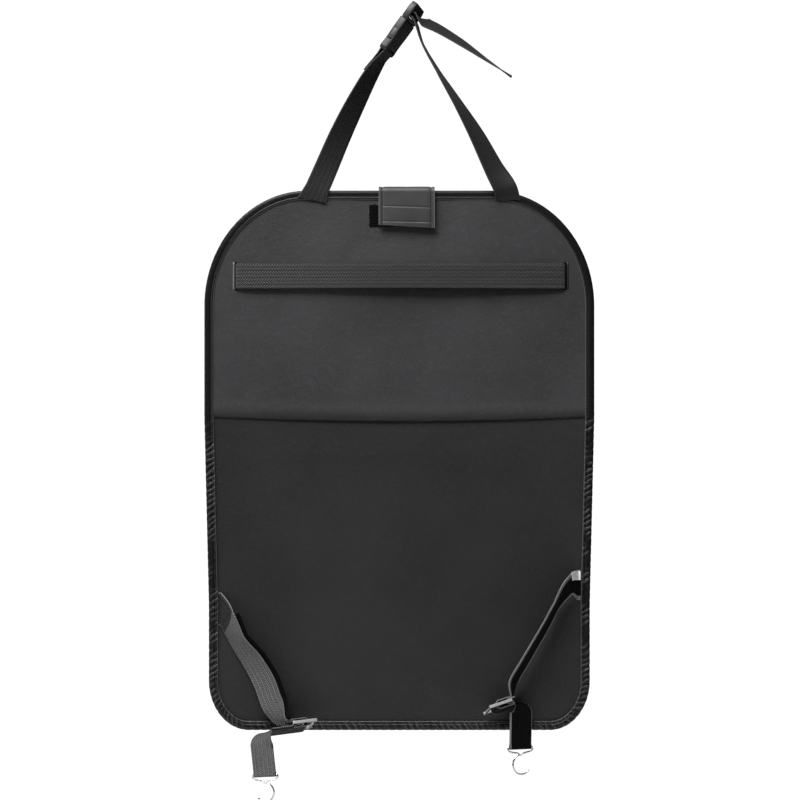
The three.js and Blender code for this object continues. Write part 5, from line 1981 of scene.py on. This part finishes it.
# %% Seams of the pockets
for name, node, pocket in POCKETS + (("tablet_pocket", "tablet_sleeve", tablet_pocket),):
    stitch_row(name + "_seam", pocket_seam(pocket, 3.0), GREY_THREAD)
    mouth = [pocket.place(i, 0) + Vector((0, 1.0, -5.6)) for i in range(2, COLUMNS - 1)]
    leans = []
    for a, b in zip(mouth, mouth[1:]):
        leans.append(Vector((a.y - b.y, b.x - a.x, 0)).normalized())
    row = along_line([place + lean * 0.05 for place, lean in zip(mouth, leans)], leans)
    stitch_row(name + "_mouth_seam", row, GREY_THREAD)

window_line = [
    Vector((x, POCKET_BASE + 12.0 - 0.52, z)) for x, z in (
        (-98, 82.5), (98, 82.5), (98, 243), (-98, 243), (-98, 82.5))]
stitch_row("window_seam", along_line(window_line, [FRONT] * 5), GREY_THREAD)


# %% [markdown]
# The tab's stitches follow the same fold and the same grooves as its leather, so they lie in them.


# %% Seams of the tab
def tab_line(points):
    """Stitches along straight lines on the tab, given as (x, length along the fold)."""
    line, normals = [], []
    for (x_a, along_a), (x_b, along_b) in zip(points, points[1:]):
        parts = max(2, round(math.hypot(x_b - x_a, along_b - along_a) / 2))
        for k in range(parts):
            x = x_a + (x_b - x_a) * k / parts
            along = along_a + (along_b - along_a) * k / parts
            y, z, out_y, out_z = tab_fold(along)
            lift = tab_relief(x, along) + 0.05
            line.append(Vector((x, y + out_y * lift, z + out_z * lift)))
            normals.append(Vector((0, out_y, out_z)))
    return along_line(line, normals, 2.9)


left_seam, right_seam = TAB_CENTRE - SEAM_SIDE, TAB_CENTRE + SEAM_SIDE
low_left, middle_left = across_seam(left_seam)
low_right, middle_right = across_seam(right_seam)
front_end = TAB_LENGTH - 5
rows = tab_line([
    (left_seam, front_end), (left_seam, low_left), (right_seam, low_right), (right_seam, front_end)])
rows += tab_line([(left_seam, middle_left), (right_seam, middle_right)])
stitch_row("tab_stitches", rows, DARK_THREAD)

# %% [markdown]
# The feet of the top straps are sewn down with a box of stitches, which spreads the load.

# %% Seams of the straps
BOX_HALF = 10.6
BOX_OUT = 0.72
BOX_PITCH = 2.6


def web_stitches(name, frame_a, frame_b):
    """A boxed row of stitches over the sewn end of a strap, between two of its frames."""
    corners = [(frame_a, -1), (frame_a, 1), (frame_b, 1), (frame_b, -1), (frame_a, -1)]
    line = [f.place + f.width * BOX_HALF * side + f.normal * BOX_OUT for f, side in corners]
    row = along_line(line, [frame_a.normal] * 5, BOX_PITCH)
    return stitch_row(name, row, DARK_THREAD)


web_stitches("left_root_stitches", left_way[1], left_way[10])
web_stitches("right_root_stitches", right_way[1], right_way[10])

# %% [markdown]
# Some solids are right as they are: the foam board, the label, the hook half of the fastening and the
# window's film. Each keeps its mesh and gets its own finish.

# %% Finishes of the solids that stay
for node, material in (
        ("stiffener_board", FOAM_BOARD), ("seam_label", LABEL_CLOTH),
        ("hook_patch", LOOP_PILE), ("sleeve_window", CLEAR_FILM)):
    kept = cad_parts[node]
    if not kept.data.materials:
        kept.data.materials.append(material)
    for kept_slot in kept.material_slots:
        kept_slot.material = material
    print(node, "keeps its solid")
